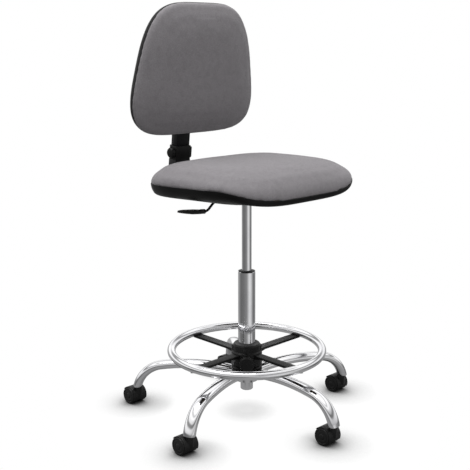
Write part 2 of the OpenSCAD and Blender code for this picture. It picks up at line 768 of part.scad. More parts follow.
LEVER_BEND = lever_arc(lever_x - lever_out, lever_z, 1, 0, lever_slope_a);
LEVER_DROP = [LEVER_BEND[4][0] - lever_drop_l * cos(lever_slope_a),
    LEVER_BEND[4][1] - lever_drop_l * sin(lever_slope_a), 180 + lever_slope_a];
LEVER_BACK = lever_arc(LEVER_DROP[0], LEVER_DROP[1], -1, lever_slope_a, -lever_end_a);
LEVER_PATH = concat([[lever_x, lever_z, 180], [lever_x - lever_out, lever_z, 180]],
    LEVER_BEND, [LEVER_DROP], LEVER_BACK);

// Carries its children to the end of the lever's rod, +Z along the rod
module lever_end() {
    end = LEVER_BACK[4];
    translate([end[0], 0, end[1]]) rotate([0, -90 + lever_end_a, 0]) children();
}

module lever_rod() {
    r = lever_d / 2;
    tongue_z = cyl_top_z + valve_out + 0.2;
    color(BLACK) {
        loft([for (s = LEVER_PATH) tube_ring(s, lever_d, lever_d, 1, 16)]);
        translate([lever_x, 0, lever_z]) rotate([90, 0, 0])
            cylinder(r = trunnion_r, h = trunnion_l, center = true);
        translate([lever_x - 4, -r - 1, lever_z - r - 1])
            cube([8, 2 * r + 2, tongue_z + 4 - lever_z + r + 1]);
        translate([lever_x - 4, -5, tongue_z]) cube([6 - lever_x, 10, 4]);
    }
}

module lever_paddle() {
    root = 14;
    color(BLACK) lever_end() difference() {
        union() {
            cylinder(d = lever_d + 6, h = root);
            intersection() {
                translate([-paddle_t / 2, 0, 4]) rotate([0, 90, 0]) rotate([0, 0, 180]) linear_extrude(paddle_t)
                    union() {
                        translate([paddle_l - paddle_w / 2 - 4, 0]) circle(d = paddle_w);
                        polygon([[4, -7], [24, -paddle_w / 2], [paddle_l - paddle_w / 2 - 4, -paddle_w / 2],
                                 [paddle_l - paddle_w / 2 - 4, paddle_w / 2], [24, paddle_w / 2], [4, 7]]);
                    }
                translate([0, 0, 0]) rotate([90, 0, 0]) translate([0, 0, -50]) linear_extrude(100)
                    polygon([[-paddle_t / 2, 0], [-paddle_t / 2, paddle_l * 0.6], [-1, paddle_l + 2],
                             [2, paddle_l + 2], [paddle_t / 2, paddle_l * 0.7], [paddle_t / 2, 0]]);
            }
        }
        translate([0, 0, -cut]) cylinder(d = lever_d, h = root - 2 + cut);
    }
}

module tilt_pin() {
    color(STEEL) translate([-mech_half_w - 3, tilt_y, tilt_z]) rotate([0, 90, 0])
        cylinder(d = tilt_pin_d, h = 2 * mech_half_w + 6);
}

module tilt_spring() {
    pitch = 2 * spring_wire_r + 0.6;
    steps = spring_turns * SPRING_STEPS;
    sides = 8;
    color(STEEL) translate([24, tilt_y, tilt_z]) rotate([0, 90, 0])
        loft([for (j = [0:steps]) let (a = 360 * j / SPRING_STEPS)
            [for (i = [0:sides - 1]) let (b = -360 * i / sides,
                r = spring_r + spring_wire_r * cos(b),
                z = pitch * a / 360 + spring_wire_r * sin(b))
                [r * cos(a), r * sin(a), z]]]);
}

module back_place() {
    translate([0, back_y, back_z]) rotate([back_lean, 0, 0]) children();
}

module back_arm() {
    bar_end_y = back_y + (upright_back + sleeve_out_y) * cos(back_lean)
        - sleeve_bottom * sin(back_lean);
    color(BLACK) difference() {
        union() {
            translate([-tilt_tube_l / 2, tilt_y, tilt_z]) rotate([0, 90, 0])
                cylinder(r = tilt_tube_r, h = tilt_tube_l);
            translate([-arm_bar_w / 2, tilt_y, tilt_z - arm_bar_t + 1])
                cube([arm_bar_w, bar_end_y - tilt_y, arm_bar_t]);
            back_place() translate([-sleeve_out_x, upright_back - sleeve_out_y, sleeve_bottom])
                cube([2 * sleeve_out_x, 2 * sleeve_out_y, sleeve_top - sleeve_bottom]);
        }
        back_place() translate([0, upright_back, 0])
            translate([-upright_w / 2 - sleeve_fit, -upright_t / 2 - sleeve_fit, sleeve_bottom + 8])
            cube([upright_w + 2 * sleeve_fit, upright_t + 2 * sleeve_fit, 400]);
        translate([-100, tilt_y, tilt_z]) rotate([0, 90, 0]) cylinder(r = tilt_pin_d / 2 + run, h = 200);
    }
}

module clamp_housing() {
    x = sleeve_out_x;
    y = sleeve_out_y + 3;
    c = 4;
    color(BLACK) back_place() difference() {
        translate([0, upright_back, sleeve_top]) linear_extrude(clamp_h) polygon([
            [-x, -y + c], [-x + c, -y], [x - c, -y], [x, -y + c],
            [x, y - c], [x - c, y], [-x + c, y], [-x, y - c]
        ]);
        translate([-upright_w / 2 - sleeve_fit, upright_back - upright_t / 2 - sleeve_fit, sleeve_top - cut])
            cube([upright_w + 2 * sleeve_fit, upright_t + 2 * sleeve_fit, clamp_h + 2 * cut]);
        translate([-100, upright_back, -clamp_drop]) rotate([0, 90, 0])
            cylinder(r = knob_stud_r + run, h = 100);
    }
}

module clamp_knob() {
    stud = sleeve_out_x - upright_w / 2 - 0.2;
    lobes = 8;
    color(BLACK) back_place() translate([-sleeve_out_x, upright_back, -clamp_drop]) rotate([0, -90, 0]) {
        translate([0, 0, -stud]) cylinder(r = knob_stud_r, h = stud + 2);
        translate([0, 0, gap]) difference() {
            union() {
                cylinder(r = knob_r, h = knob_t - 3);
                translate([0, 0, knob_t - 3 - eps]) cylinder(r1 = knob_r, r2 = knob_r - 3, h = 3);
            }
            for (i = [1:lobes]) rotate([0, 0, 360 / lobes * i])
                translate([knob_r + 2.5, 0, -cut]) cylinder(r = 4, h = knob_t + 2 * cut);
        }
    }
}

module clamp_cap() {
    t = 7;
    c = 4;
    y = sleeve_out_y - 2;
    h = clamp_h - 4;
    color(BLACK) back_place() translate([sleeve_out_x, upright_back, -clamp_drop]) rotate([90, 0, 0])
        translate([0, 0, -y]) linear_extrude(2 * y)
            polygon([[0, -h / 2], [t, -h / 2 + c], [t, h / 2 - c], [0, h / 2]]);
}

module back_bolt_place() {
    for (x = [-1, 1], z = back_bolt_z) translate([x * back_bolt_x / 2, 0, z]) rotate([-90, 0, 0]) children();
}

module back_upright() {
    plate_front = back_depth + gap;
    bar_front = upright_back - upright_t / 2;
    color(BLACK) back_place() difference() {
        union() {
            translate([-upright_w / 2, bar_front, upright_bottom])
                cube([upright_w, upright_t, upright_top - upright_bottom]);
            translate([-plate_x / 2, plate_front, plate_low])
                cube([plate_x, bar_front - plate_front + eps, plate_high - plate_low]);
        }
        translate([-upright_w / 2 + 3, bar_front + 3, upright_bottom - cut])
            cube([upright_w - 6, upright_t - 6, upright_top - upright_bottom - 2]);
        back_bolt_place() cylinder(d = 6, h = 45);
        translate([0, bar_front, 0]) for (x = [-1, 1], z = back_bolt_z)
            translate([x * back_bolt_x / 2, 0, z]) rotate([-90, 0, 0]) cylinder(d = 13, h = 60);
    }
}

module back_screws() {
    head = 4;
    bar_front = upright_back - upright_t / 2;
    color(STEEL) back_place() back_bolt_place() {
        translate([0, 0, 2]) cylinder(d = 6, h = bar_front - 2);
        translate([0, 0, bar_front]) cylinder(d = 11, h = head);
    }
}

// Outline of the backrest in its own plane, shrunk inwards by inset, at the depth y
function back_ring(inset, y) = [for (i = [0:RING_PTS - 1])
    let (t = -360 * i / RING_PTS,
         v = (back_half_h - inset) * sgnpow(sin(t), 2 / BACK_N[1]),
         u = (back_half_w - inset) * (1 - back_taper * v / back_half_h) * sgnpow(cos(t), 2 / BACK_N[0]))
    [u, y, v]];

module back_shell() {
    d = back_depth;
    w = back_wall;
    insets = [2, 3.5, 8, 18, 36, 70, 105];
    depths = [0.6, 0.3 * d, 0.6 * d, 0.83 * d, 0.94 * d, d, d];
    in_depths = [0.6, 0.27 * d, 0.54 * d, 0.83 * d - 2.4, 0.94 * d - w, d - w, d - w];
    outer = [for (i = [0:6]) back_ring(insets[i], depths[i])];
    inner = [for (i = [6:-1:0]) back_ring(insets[i] + w, in_depths[i])];
    board_back = gap + back_board_t;
    color(BLACK) back_place() difference() {
        union() {
            loft(concat(inner, outer));
            back_bolt_place() translate([0, 0, board_back]) cylinder(d = 14, h = d - w / 2 - board_back);
        }
        back_bolt_place() cylinder(d = 6, h = 60);
    }
}

module back_board() {
    inset = back_board_inset;
    color(WOOD) back_place() difference() {
        loft([back_ring(inset, gap), back_ring(inset, gap + back_board_t)]);
        back_bolt_place() cylinder(d = 6, h = 60);
    }
}

function back_crown_ring(a) =
    let (inset = 30 * (1 - cos(min(a, 90))) + max(0, a - 90) * 1.6,
         climb = pow(sin(min(a, 90)), 0.85) * mix(0.8, 1, clamp01((a - 60) / 60)))
    back_ring(inset, -back_crown * climb);

module back_cushion() {
    color(FABRIC) back_place() loft(concat(
        [for (a = [175, 145, 118, 95, 80, 65, 50, 35, 20, 8]) back_crown_ring(a)],
        [back_ring(0.8, 0), back_ring(back_board_inset, 0)]
    ));
}

base_hub();
for (i = [1:CASTORS]) {
    base_arm(i);
    castor_place(i) castor_housing();
    castor_place(i) castor_axle();
    castor_place(i) castor_wheel(-1);
    castor_place(i) castor_wheel(1);
}
base_collar();
castor_sockets();
castor_stems();
column_tube();
column_bush();
thrust_bearing();
retaining_clip();
piston_rod();
rubber_buffer();
pressure_tube();
valve_button();
footring_tube();
footring_hub();
footring_liner();
footring_screws();
footring_knob();
seat_mechanism();
mechanism_bolts();
lever_rod();
lever_paddle();
tilt_pin();
tilt_spring();
seat_shell();
seat_board();
seat_cushion();
back_arm();
clamp_housing();
clamp_knob();
clamp_cap();
back_upright();
back_screws();
back_shell();
back_board();
back_cushion();
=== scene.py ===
"""Drafting chair: a five-star chromed base, gas column, foot ring, padded seat and backrest."""
import json
import logging
import math
from dataclasses import dataclass, field
from enum import Enum
from typing import Callable, Sequence

import bmesh
import bpy
import numpy as np
from mathutils import Matrix, Vector, noise


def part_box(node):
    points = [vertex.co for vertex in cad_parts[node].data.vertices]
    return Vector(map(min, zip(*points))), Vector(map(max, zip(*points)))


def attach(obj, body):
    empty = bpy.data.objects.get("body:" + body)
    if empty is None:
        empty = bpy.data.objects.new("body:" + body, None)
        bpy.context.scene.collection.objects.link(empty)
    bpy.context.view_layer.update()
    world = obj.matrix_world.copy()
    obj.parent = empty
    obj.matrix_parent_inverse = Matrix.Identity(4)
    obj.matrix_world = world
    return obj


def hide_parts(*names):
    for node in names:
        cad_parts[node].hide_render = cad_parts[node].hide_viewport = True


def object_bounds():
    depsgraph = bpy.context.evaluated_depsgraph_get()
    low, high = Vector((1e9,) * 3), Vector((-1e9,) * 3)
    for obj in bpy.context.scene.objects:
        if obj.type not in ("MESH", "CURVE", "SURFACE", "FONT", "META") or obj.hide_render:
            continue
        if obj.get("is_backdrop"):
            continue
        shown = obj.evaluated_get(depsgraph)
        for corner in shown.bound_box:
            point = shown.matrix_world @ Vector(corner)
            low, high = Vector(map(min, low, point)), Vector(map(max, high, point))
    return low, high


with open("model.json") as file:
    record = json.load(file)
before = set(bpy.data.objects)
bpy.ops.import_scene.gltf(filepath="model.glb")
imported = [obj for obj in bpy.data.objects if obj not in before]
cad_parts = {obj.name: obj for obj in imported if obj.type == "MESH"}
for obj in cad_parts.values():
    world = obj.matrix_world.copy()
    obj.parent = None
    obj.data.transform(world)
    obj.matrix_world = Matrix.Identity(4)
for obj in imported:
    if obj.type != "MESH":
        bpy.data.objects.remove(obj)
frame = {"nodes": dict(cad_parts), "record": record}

logging.basicConfig(level=logging.INFO, format="%(name)s: %(message)s")
LOG = logging.getLogger("chair")
CAD_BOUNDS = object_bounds()
MM = 0.001
CREASE = 38.0
CASTORS = range(1, 6)
CROWN_ANGLES = (3, 10, 20, 30, 42, 55, 68, 80, 92, 110, 130, 150, 175)
Colour = tuple[float, float, float]
Ring = list[Vector]


class Slot(Enum):
    """Material slots of the record."""

    CHROME = "chrome"
    STEEL = "bright_steel"
    PAINT = "black_steel"
    PLASTIC = "black_plastic"
    CASTOR = "castor_nylon"
    SHELL = "shell_plastic"
    RUBBER = "rubber"
    PLY = "plywood"
    FABRIC = "grey_fabric"


# ---------------------------------------------------------------- node groups


class Tree:
    """Adds and links shader nodes in one node tree."""

    def __init__(self, tree: bpy.types.NodeTree) -> None:
        """Keeps the tree."""
        self.tree = tree

    def node(self, kind: str, **values: object) -> bpy.types.Node:
        """Adds a node.

        Args:
            kind: The node's type name, without its ShaderNode prefix.
            values: Properties of the node.

        Returns:
            The new node.
        """
        made = self.tree.nodes.new("ShaderNode" + kind)
        for key, value in values.items():
            setattr(made, key, value)
        return made

    def feed(self, socket: bpy.types.NodeSocket, value: object) -> None:
        """Links an output to a socket, or sets the socket's own value."""
        if isinstance(value, bpy.types.NodeSocket):
            self.tree.links.new(value, socket)
        else:
            socket.default_value = value

    def math(self, operation: str, *values: object) -> bpy.types.NodeSocket:
        """Adds a Math node and returns its result."""
        made = self.node("Math", operation=operation)
        for socket, value in zip(made.inputs, values):
            self.feed(socket, value)
        return made.outputs[0]

    def remap(self, value: object, low: float, high: float, to_low: object = 0.0,
              to_high: object = 1.0) -> bpy.types.NodeSocket:
        """Maps a value from one range to another, smoothly.

        Args:
            value: The value to map.
            low: Lower end of its range.
            high: Upper end of its range.
            to_low: What low becomes.
            to_high: What high becomes.

        Returns:
            The mapped value.
        """
        made = self.node("MapRange", interpolation_type="SMOOTHSTEP")
        for socket, part in zip(made.inputs, (value, low, high, to_low, to_high)):
            self.feed(socket, part)
        return made.outputs[0]

    def noise(self, place: object, scale: object, detail: float = 3.0, rough: float = 0.5) -> bpy.types.NodeSocket:
        """Adds a Noise texture and returns its value."""
        made = self.node("TexNoise", noise_dimensions="3D")
        self.feed(made.inputs["Vector"], place)
        self.feed(made.inputs["Scale"], scale)
        made.inputs["Detail"].default_value = detail
        made.inputs["Roughness"].default_value = rough
        return made.outputs[0]

    def blend(self, share: object, first: object, second: object) -> bpy.types.NodeSocket:
        """Mixes two colours and returns the result."""
        made = self.node("Mix", data_type="RGBA")
        self.feed(made.inputs[0], share)
        for socket, value in ((made.inputs[6], first), (made.inputs[7], second)):
            self.feed(socket, (*value, 1.0) if isinstance(value, tuple) and len(value) == 3 else value)
        return made.outputs[2]

    def split(self, vector: bpy.types.NodeSocket) -> list[bpy.types.NodeSocket]:
        """Splits a vector and returns its three parts."""
        made = self.node("SeparateXYZ")
        self.feed(made.inputs[0], vector)
        return list(made.outputs)


class Effect:
    """A shader node group that more than one material uses."""

    name = "effect"
    inputs: tuple[tuple[str, float], ...] = ()
    outputs: tuple[str, ...] = ()

    def tree(self) -> bpy.types.NodeTree:
        """Returns the group, built on its first use."""
        if self.name in bpy.data.node_groups:
            return bpy.data.node_groups[self.name]
        made = bpy.data.node_groups.new(self.name, "ShaderNodeTree")
        for label, value in self.inputs:
            socket = made.interface.new_socket(name=label, in_out="INPUT", socket_type="NodeSocketFloat")
            socket.default_value = value
        for label in self.outputs:
            made.interface.new_socket(name=label, in_out="OUTPUT", socket_type="NodeSocketFloat")
        start, end = made.nodes.new("NodeGroupInput"), made.nodes.new("NodeGroupOutput")
        results = self.build(Tree(made), {s.name: s for s in start.outputs})
        for label, result in zip(self.outputs, results):
            made.links.new(result, end.inputs[label])
        return made

    def build(self, tree: Tree, given: dict[str, bpy.types.NodeSocket]) -> list[bpy.types.NodeSocket]:
        """Builds the group's nodes and returns its results, in the order of outputs."""
        raise NotImplementedError

    def place(self, tree: Tree, **values: float) -> dict[str, bpy.types.NodeSocket]:
        """Places the group in a material.

        Args:
            tree: The material's tree.
            values: Values of the group's inputs, with _ for a space.

        Returns:
            The group's outputs by name.
        """
        made = tree.node("Group", node_tree=self.tree())
        for label, value in values.items():
            made.inputs[label.replace("_", " ")].default_value = value
        return {s.name: s for s in made.outputs}


class Weave(Effect):
    """A plain weave, laid on each side of a piece by the way that it faces."""

    name = "plain_weave"
    inputs = (("Pitch", 0.0016), ("Slub", 0.5))
    outputs = ("Height", "Thread", "Melange")

    def build(self, tree: Tree, given: dict[str, bpy.types.NodeSocket]) -> list[bpy.types.NodeSocket]:
        """Crosses two sets of threads in each plane and weights the planes by the normal."""
        coords = tree.node("TexCoord")
        place = coords.outputs["Object"]
        facing = [tree.math("POWER", tree.math("ABSOLUTE", part), 3.0)
                  for part in tree.split(coords.outputs["Normal"])]
        drift = tree.noise(place, 90.0, 2.0)
        turns = tree.math("DIVIDE", 2 * math.pi, given["Pitch"])
        waves = []
        for part in tree.split(place):
            bent = tree.math("MULTIPLY_ADD", drift, 0.0012, part)
            waves.append(tree.math("SINE", tree.math("MULTIPLY", bent, turns)))
        planes = []
        for axis in range(3):
            first, second = waves[(axis + 1) % 3], waves[(axis + 2) % 3]
            planes.append(tree.math("MULTIPLY", tree.math("MULTIPLY", first, second), facing[axis]))
        total = tree.math("ADD", tree.math("ADD", facing[0], facing[1]), facing[2])
        summed = tree.math("ADD", tree.math("ADD", planes[0], planes[1]), planes[2])
        weave = tree.math("DIVIDE", summed, total)
        height = tree.math("MULTIPLY_ADD", weave, 0.5, 0.5)
        slub = tree.noise(place, 700.0, 2.0, 0.6)
        fleck = tree.remap(tree.noise(place, 420.0, 3.0, 0.7), 0.35, 0.65)
        thread = tree.math("MULTIPLY_ADD", tree.math("SUBTRACT", slub, 0.5), given["Slub"], height)
        return [thread, height, fleck]


class Patina(Effect):
    """Broad, soft patches of use and dust, and fine marks between them."""

    name = "patina"
    inputs = (("Patch Scale", 9.0), ("Mark Scale", 160.0))
    outputs = ("Patch", "Marks", "Dust")

    def build(self, tree: Tree, given: dict[str, bpy.types.NodeSocket]) -> list[bpy.types.NodeSocket]:
        """Mixes two scales of noise, and finds faces that look up for the dust."""
        coords = tree.node("TexCoord")
        place = coords.outputs["Object"]
        patch = tree.remap(tree.noise(place, given["Patch Scale"], 4.0, 0.55), 0.38, 0.66)
        marks = tree.remap(tree.noise(place, given["Mark Scale"], 3.0, 0.65), 0.4, 0.7)
        upward = tree.remap(tree.split(coords.outputs["Normal"])[2], 0.35, 0.98)
        dust = tree.math("MULTIPLY", upward, tree.math("MULTIPLY_ADD", marks, 0.5, 0.5))
        return [patch, marks, dust]


class Grain(Effect):
    """The fine leathery grain of a moulded surface."""

    name = "moulded_grain"
    inputs = (("Scale", 900.0), ("Depth", 1.0))
    outputs = ("Height", "Pits")

    def build(self, tree: Tree, given: dict[str, bpy.types.NodeSocket]) -> list[bpy.types.NodeSocket]:
        """Joins rounded cells with a little noise."""
        place = tree.node("TexCoord").outputs["Object"]
        cells = tree.node("TexVoronoi", feature="SMOOTH_F1")
        tree.feed(cells.inputs["Vector"], place)
        tree.feed(cells.inputs["Scale"], given["Scale"])
        soft = tree.noise(place, tree.math("MULTIPLY", given["Scale"], 0.6), 2.0)
        pits = tree.math("MULTIPLY_ADD", soft, 0.5, cells.outputs["Distance"])
        return [tree.math("MULTIPLY", pits, given["Depth"]), pits]


class Hairlines(Effect):
    """Hairline scratches that lie round a turned or drawn part."""

    name = "hairlines"
    inputs = (("Pitch", 0.0006), ("Reach", 12.0))
    outputs = ("Height", "Mask")

    def build(self, tree: Tree, given: dict[str, bpy.types.NodeSocket]) -> list[bpy.types.NodeSocket]:
        """Stretches noise along the surface so that it reads as lines."""
        place = tree.node("TexCoord").outputs["Object"]
        joined = tree.node("CombineXYZ")
        along, scales = ("MULTIPLY", "MULTIPLY", "DIVIDE"), (given["Reach"], given["Reach"], given["Pitch"])
        for socket, part, operation, scale in zip(joined.inputs, tree.split(place), along, scales):
            tree.feed(socket, tree.math(operation, part, scale))
        lines = tree.noise(joined.outputs[0], 1.0, 4.0, 0.7)
        mask = tree.remap(lines, 0.5, 0.72)
        return [lines, mask]


# ------------------------------------------------------------------ finishes


@dataclass(frozen=True)
class Finish:
    """A finish: its slot in the record and its colours."""

    slot: Slot
    base: Colour
    second: Colour
    rough: tuple[float, float] = (0.4, 0.5)

    def material(self) -> bpy.types.Material:
        """Returns the finish's material, built on its first use."""
        if self.slot.value in bpy.data.materials and bpy.data.materials[self.slot.value].get("dressed"):
            return bpy.data.materials[self.slot.value]
        for old in [m for m in bpy.data.materials if m.name == self.slot.value]:
            old.name = "as_packed_" + self.slot.value
        made = bpy.data.materials.new(self.slot.value)
        made["dressed"] = True
        made.use_nodes = True
        tree = Tree(made.node_tree)
        shader = made.node_tree.nodes["Principled BSDF"]
        self.dress(tree, shader)
        return made

    def dress(self, tree: Tree, shader: bpy.types.Node) -> None:
        """Sets the shader's own sockets and links what changes over the surface."""
        raise NotImplementedError

    def bump(self, tree: Tree, shader: bpy.types.Node, height: object, strength: float, distance: float) -> None:
        """Adds a bump to the shader.

        Args:
            tree: The material's tree.
            shader: Its Principled node.
            height: The height to follow.
            strength: How much of it shows.
            distance: How deep it is, in metres.
        """
        made = tree.node("Bump")
        made.inputs["Strength"].default_value = strength
        made.inputs["Distance"].default_value = distance
        tree.feed(made.inputs["Height"], height)
        tree.feed(shader.inputs["Normal"], made.outputs[0])


@dataclass(frozen=True)
class Metal(Finish):
    """Chrome plate or bright steel."""

    scratch: float = 0.06

    def dress(self, tree: Tree, shader: bpy.types.Node) -> None:
        """Dulls the plate a little in patches, with hairlines and a few marks."""
        worn = Patina().place(tree, Patch_Scale=11.0, Mark_Scale=240.0)
        lines = Hairlines().place(tree, Pitch=0.0009, Reach=14.0)
        shader.inputs["Metallic"].default_value = 1.0
        tree.feed(shader.inputs["Base Color"], tree.blend(worn["Patch"], self.base, self.second))
        smear = tree.math("MULTIPLY_ADD", lines["Mask"], 0.25, tree.math("MULTIPLY", worn["Patch"], 0.75))
        tree.feed(shader.inputs["Roughness"], tree.remap(smear, 0.0, 1.0, *self.rough))
        self.bump(tree, shader, lines["Height"], self.scratch, 0.00002)


@dataclass(frozen=True)
class Moulded(Finish):
    """Moulded plastic or rubber with a fine grain, and dust on what faces up."""

    grain: float = 0.3
    grain_scale: float = 900.0
    dust: float = 0.05
    specular: float = 0.5
    coat: float = 0.0

    def dress(self, tree: Tree, shader: bpy.types.Node) -> None:
        """Lays the grain, patches and dust on the moulding."""
        worn = Patina().place(tree, Patch_Scale=14.0, Mark_Scale=300.0)
        grain = Grain().place(tree, Scale=self.grain_scale, Depth=1.0)
        shade = tree.blend(worn["Patch"], self.base, self.second)
        dusty = tree.blend(tree.math("MULTIPLY", worn["Dust"], self.dust), shade, (0.42, 0.41, 0.4))
        tree.feed(shader.inputs["Base Color"], dusty)
        mixed = tree.math("MULTIPLY_ADD", grain["Pits"], 0.3, tree.math("MULTIPLY", worn["Patch"], 0.7))
        tree.feed(shader.inputs["Roughness"], tree.remap(mixed, 0.0, 1.0, *self.rough))
        shader.inputs["Specular IOR Level"].default_value = self.specular
        shader.inputs["Coat Weight"].default_value = self.coat
        shader.inputs["Coat Roughness"].default_value = 0.2
        self.bump(tree, shader, grain["Height"], self.grain, 0.00006)


@dataclass(frozen=True)
class Cloth(Finish):
    """Woven upholstery cloth."""

    pitch: float = 0.0018

    def dress(self, tree: Tree, shader: bpy.types.Node) -> None:
        """Weaves two shades of yarn, with a soft nap."""
        weave = Weave().place(tree, Pitch=self.pitch, Slub=0.8)
        worn = Patina().place(tree, Patch_Scale=5.0, Mark_Scale=55.0)
        yarn = tree.blend(tree.math("MULTIPLY_ADD", weave["Thread"], 0.55, 0.1), self.second, self.base)
        fleck = tree.blend(tree.math("MULTIPLY", weave["Melange"], 0.45), yarn,
                           tuple(1.35 * c for c in self.base))
        mottle = tree.blend(tree.math("MULTIPLY", worn["Marks"], 0.22), fleck,
                            tuple(0.72 * c for c in self.second))
        tree.feed(shader.inputs["Base Color"], tree.blend(
            tree.math("MULTIPLY", worn["Patch"], 0.12), mottle, tuple(0.8 * c for c in self.base)))
        tree.feed(shader.inputs["Roughness"], tree.remap(weave["Thread"], 0.0, 1.0, *self.rough))
        shader.inputs["Specular IOR Level"].default_value = 0.2
        shader.inputs["Sheen Weight"].default_value = 0.2
        shader.inputs["Sheen Roughness"].default_value = 0.5
        shader.inputs["Sheen Tint"].default_value = (0.95, 0.93, 0.95, 1.0)
        relief = tree.math("MULTIPLY_ADD", worn["Marks"], 0.35, weave["Height"])
        self.bump(tree, shader, relief, 0.55, 0.0005)


@dataclass(frozen=True)
class Veneer(Finish):
    """Plywood, with its veneers showing in layers."""

    def dress(self, tree: Tree, shader: bpy.types.Node) -> None:
        """Lays the veneers across the height and the grain along the chair."""
        place = tree.node("TexCoord").outputs["Object"]
        layers = tree.math("SINE", tree.math("MULTIPLY", tree.split(place)[2], 2 * math.pi / (3 * MM)))
        fibres = Hairlines().place(tree, Pitch=0.002, Reach=6.0)
        fibre = tree.math("MULTIPLY", fibres["Mask"], 0.5)
        share = tree.math("MULTIPLY_ADD", tree.remap(layers, -0.3, 0.3), 0.5, fibre)
        tree.feed(shader.inputs["Base Color"], tree.blend(share, self.base, self.second))
        tree.feed(shader.inputs["Roughness"], tree.remap(fibres["Mask"], 0.0, 1.0, *self.rough))
        self.bump(tree, shader, fibres["Height"], 0.3, 0.0002)


FINISHES: dict[Slot, Finish] = {made.slot: made for made in (
    Metal(Slot.CHROME, (0.80, 0.80, 0.81), (0.72, 0.72, 0.74), (0.07, 0.16)),
    Metal(Slot.STEEL, (0.56, 0.56, 0.57), (0.44, 0.44, 0.45), (0.24, 0.38), scratch=0.15),
    Moulded(Slot.PAINT, (0.006, 0.006, 0.007), (0.009, 0.009, 0.010), (0.30, 0.42),
            grain=0.18, grain_scale=1500.0, dust=0.006, specular=0.22, coat=0.03),
    Moulded(Slot.PLASTIC, (0.006, 0.006, 0.006), (0.009, 0.009, 0.009), (0.34, 0.48), dust=0.008, specular=0.18),
    Moulded(Slot.CASTOR, (0.007, 0.007, 0.007), (0.010, 0.010, 0.010), (0.28, 0.42),
            grain=0.15, dust=0.008, specular=0.22),
    Moulded(Slot.SHELL, (0.004, 0.004, 0.004), (0.006, 0.006, 0.006), (0.40, 0.54),
            grain=0.4, grain_scale=650.0, dust=0.004, specular=0.12),
    Moulded(Slot.RUBBER, (0.010, 0.010, 0.010), (0.016, 0.016, 0.016), (0.65, 0.8), dust=0.04, specular=0.3),
    Veneer(Slot.PLY, (0.50, 0.33, 0.18), (0.36, 0.22, 0.11), (0.55, 0.7)),
    Cloth(Slot.FABRIC, (0.190, 0.180, 0.189), (0.126, 0.120, 0.126), (0.82, 0.95)),
)}


# --------------------------------------------------------------- mesh making


def power(value: float, exponent: float) -> float:
    """Raises a number to an exponent and keeps its sign."""
    return math.copysign(abs(value) ** exponent, value)


def mix(first: float, second: float, share: float) -> float:
    """Mixes two numbers."""
    return first + (second - first) * share


def climbed(angle: float) -> float:
    """Returns the share of its height that a cushion has reached at an angle from its seam, in degrees."""
    share = min(1.0, max(0.0, (angle - 60) / 90))
    return math.sin(math.radians(min(angle, 90.0))) ** 0.85 * mix(0.78, 1, share * (2 - share))


def drawn_in(angle: float, spread: float) -> tuple[float, float]:
    """Finds where a ring of a cushion's crown lies.

    Args:
        angle: Its angle from the seam, in degrees. Past 90, it lies on the flat of the cushion.
        spread: How many millimetres in each degree past 90 goes.

    Returns:
        How far in from the outline it lies, and how far down it is drawn before the filling.
    """
    edge, sink = 30 * MM, 5 * MM
    slack = sink * min(1.0, angle / 60)
    return edge * (1 - math.cos(math.radians(min(angle, 90)))) + max(0, angle - 90) * spread * MM + slack, slack


def tucked(over: float) -> float:
    """Returns how firmly the seam holds the cloth, from 0 to 1, at a height over it."""
    grip = 1.5 * MM
    return 1.0 if over < grip else max(0.0, 1 - (over - grip) / (8 * MM)) * 0.8


def creased(over: float, angle: float, along: float, soft: float) -> float:
    """Finds how far the cloth stands out from the cushion.

    Args:
        over: Height over the seam.
        angle: Turn round the cushion, in radians.
        along: Place along the pull lines.
        soft: The cloth's unevenness away from the seam.

    Returns:
        The unevenness, faded out at the seam, with the pull lines just above it.
    """
    near = math.exp(-((over - 9 * MM) / (9 * MM)) ** 2)
    pull = 0.35 * MM * near * noise.noise(Vector((math.cos(angle) * 16, math.sin(angle) * 16, along * 20)))
    return soft * min(1.0, max(0.0, over / (20 * MM))) + pull


def smooth_rows(rows: Sequence[Sequence[float]], steps: int) -> list[tuple[float, ...]]:
    """Puts smooth rows between the given ones, on a curve through them.

    Args:
        rows: Rows of numbers.
        steps: How many rows each gap becomes.

    Returns:
        The finer list of rows, with every given row in it.
    """
    table = np.array(rows, float)
    padded = np.vstack([2 * table[0] - table[1], table, 2 * table[-1] - table[-2]])
    fine = []
    for i in range(1, len(padded) - 2):
        before, start, end, after = padded[i - 1:i + 3]
        for t in np.arange(steps) / steps:
            fine.append(tuple(0.5 * (2 * start + (end - before) * t
                                     + (2 * before - 5 * start + 4 * end - after) * t ** 2
                                     + (3 * start - before - 3 * end + after) * t ** 3)))
    return fine + [tuple(table[-1])]


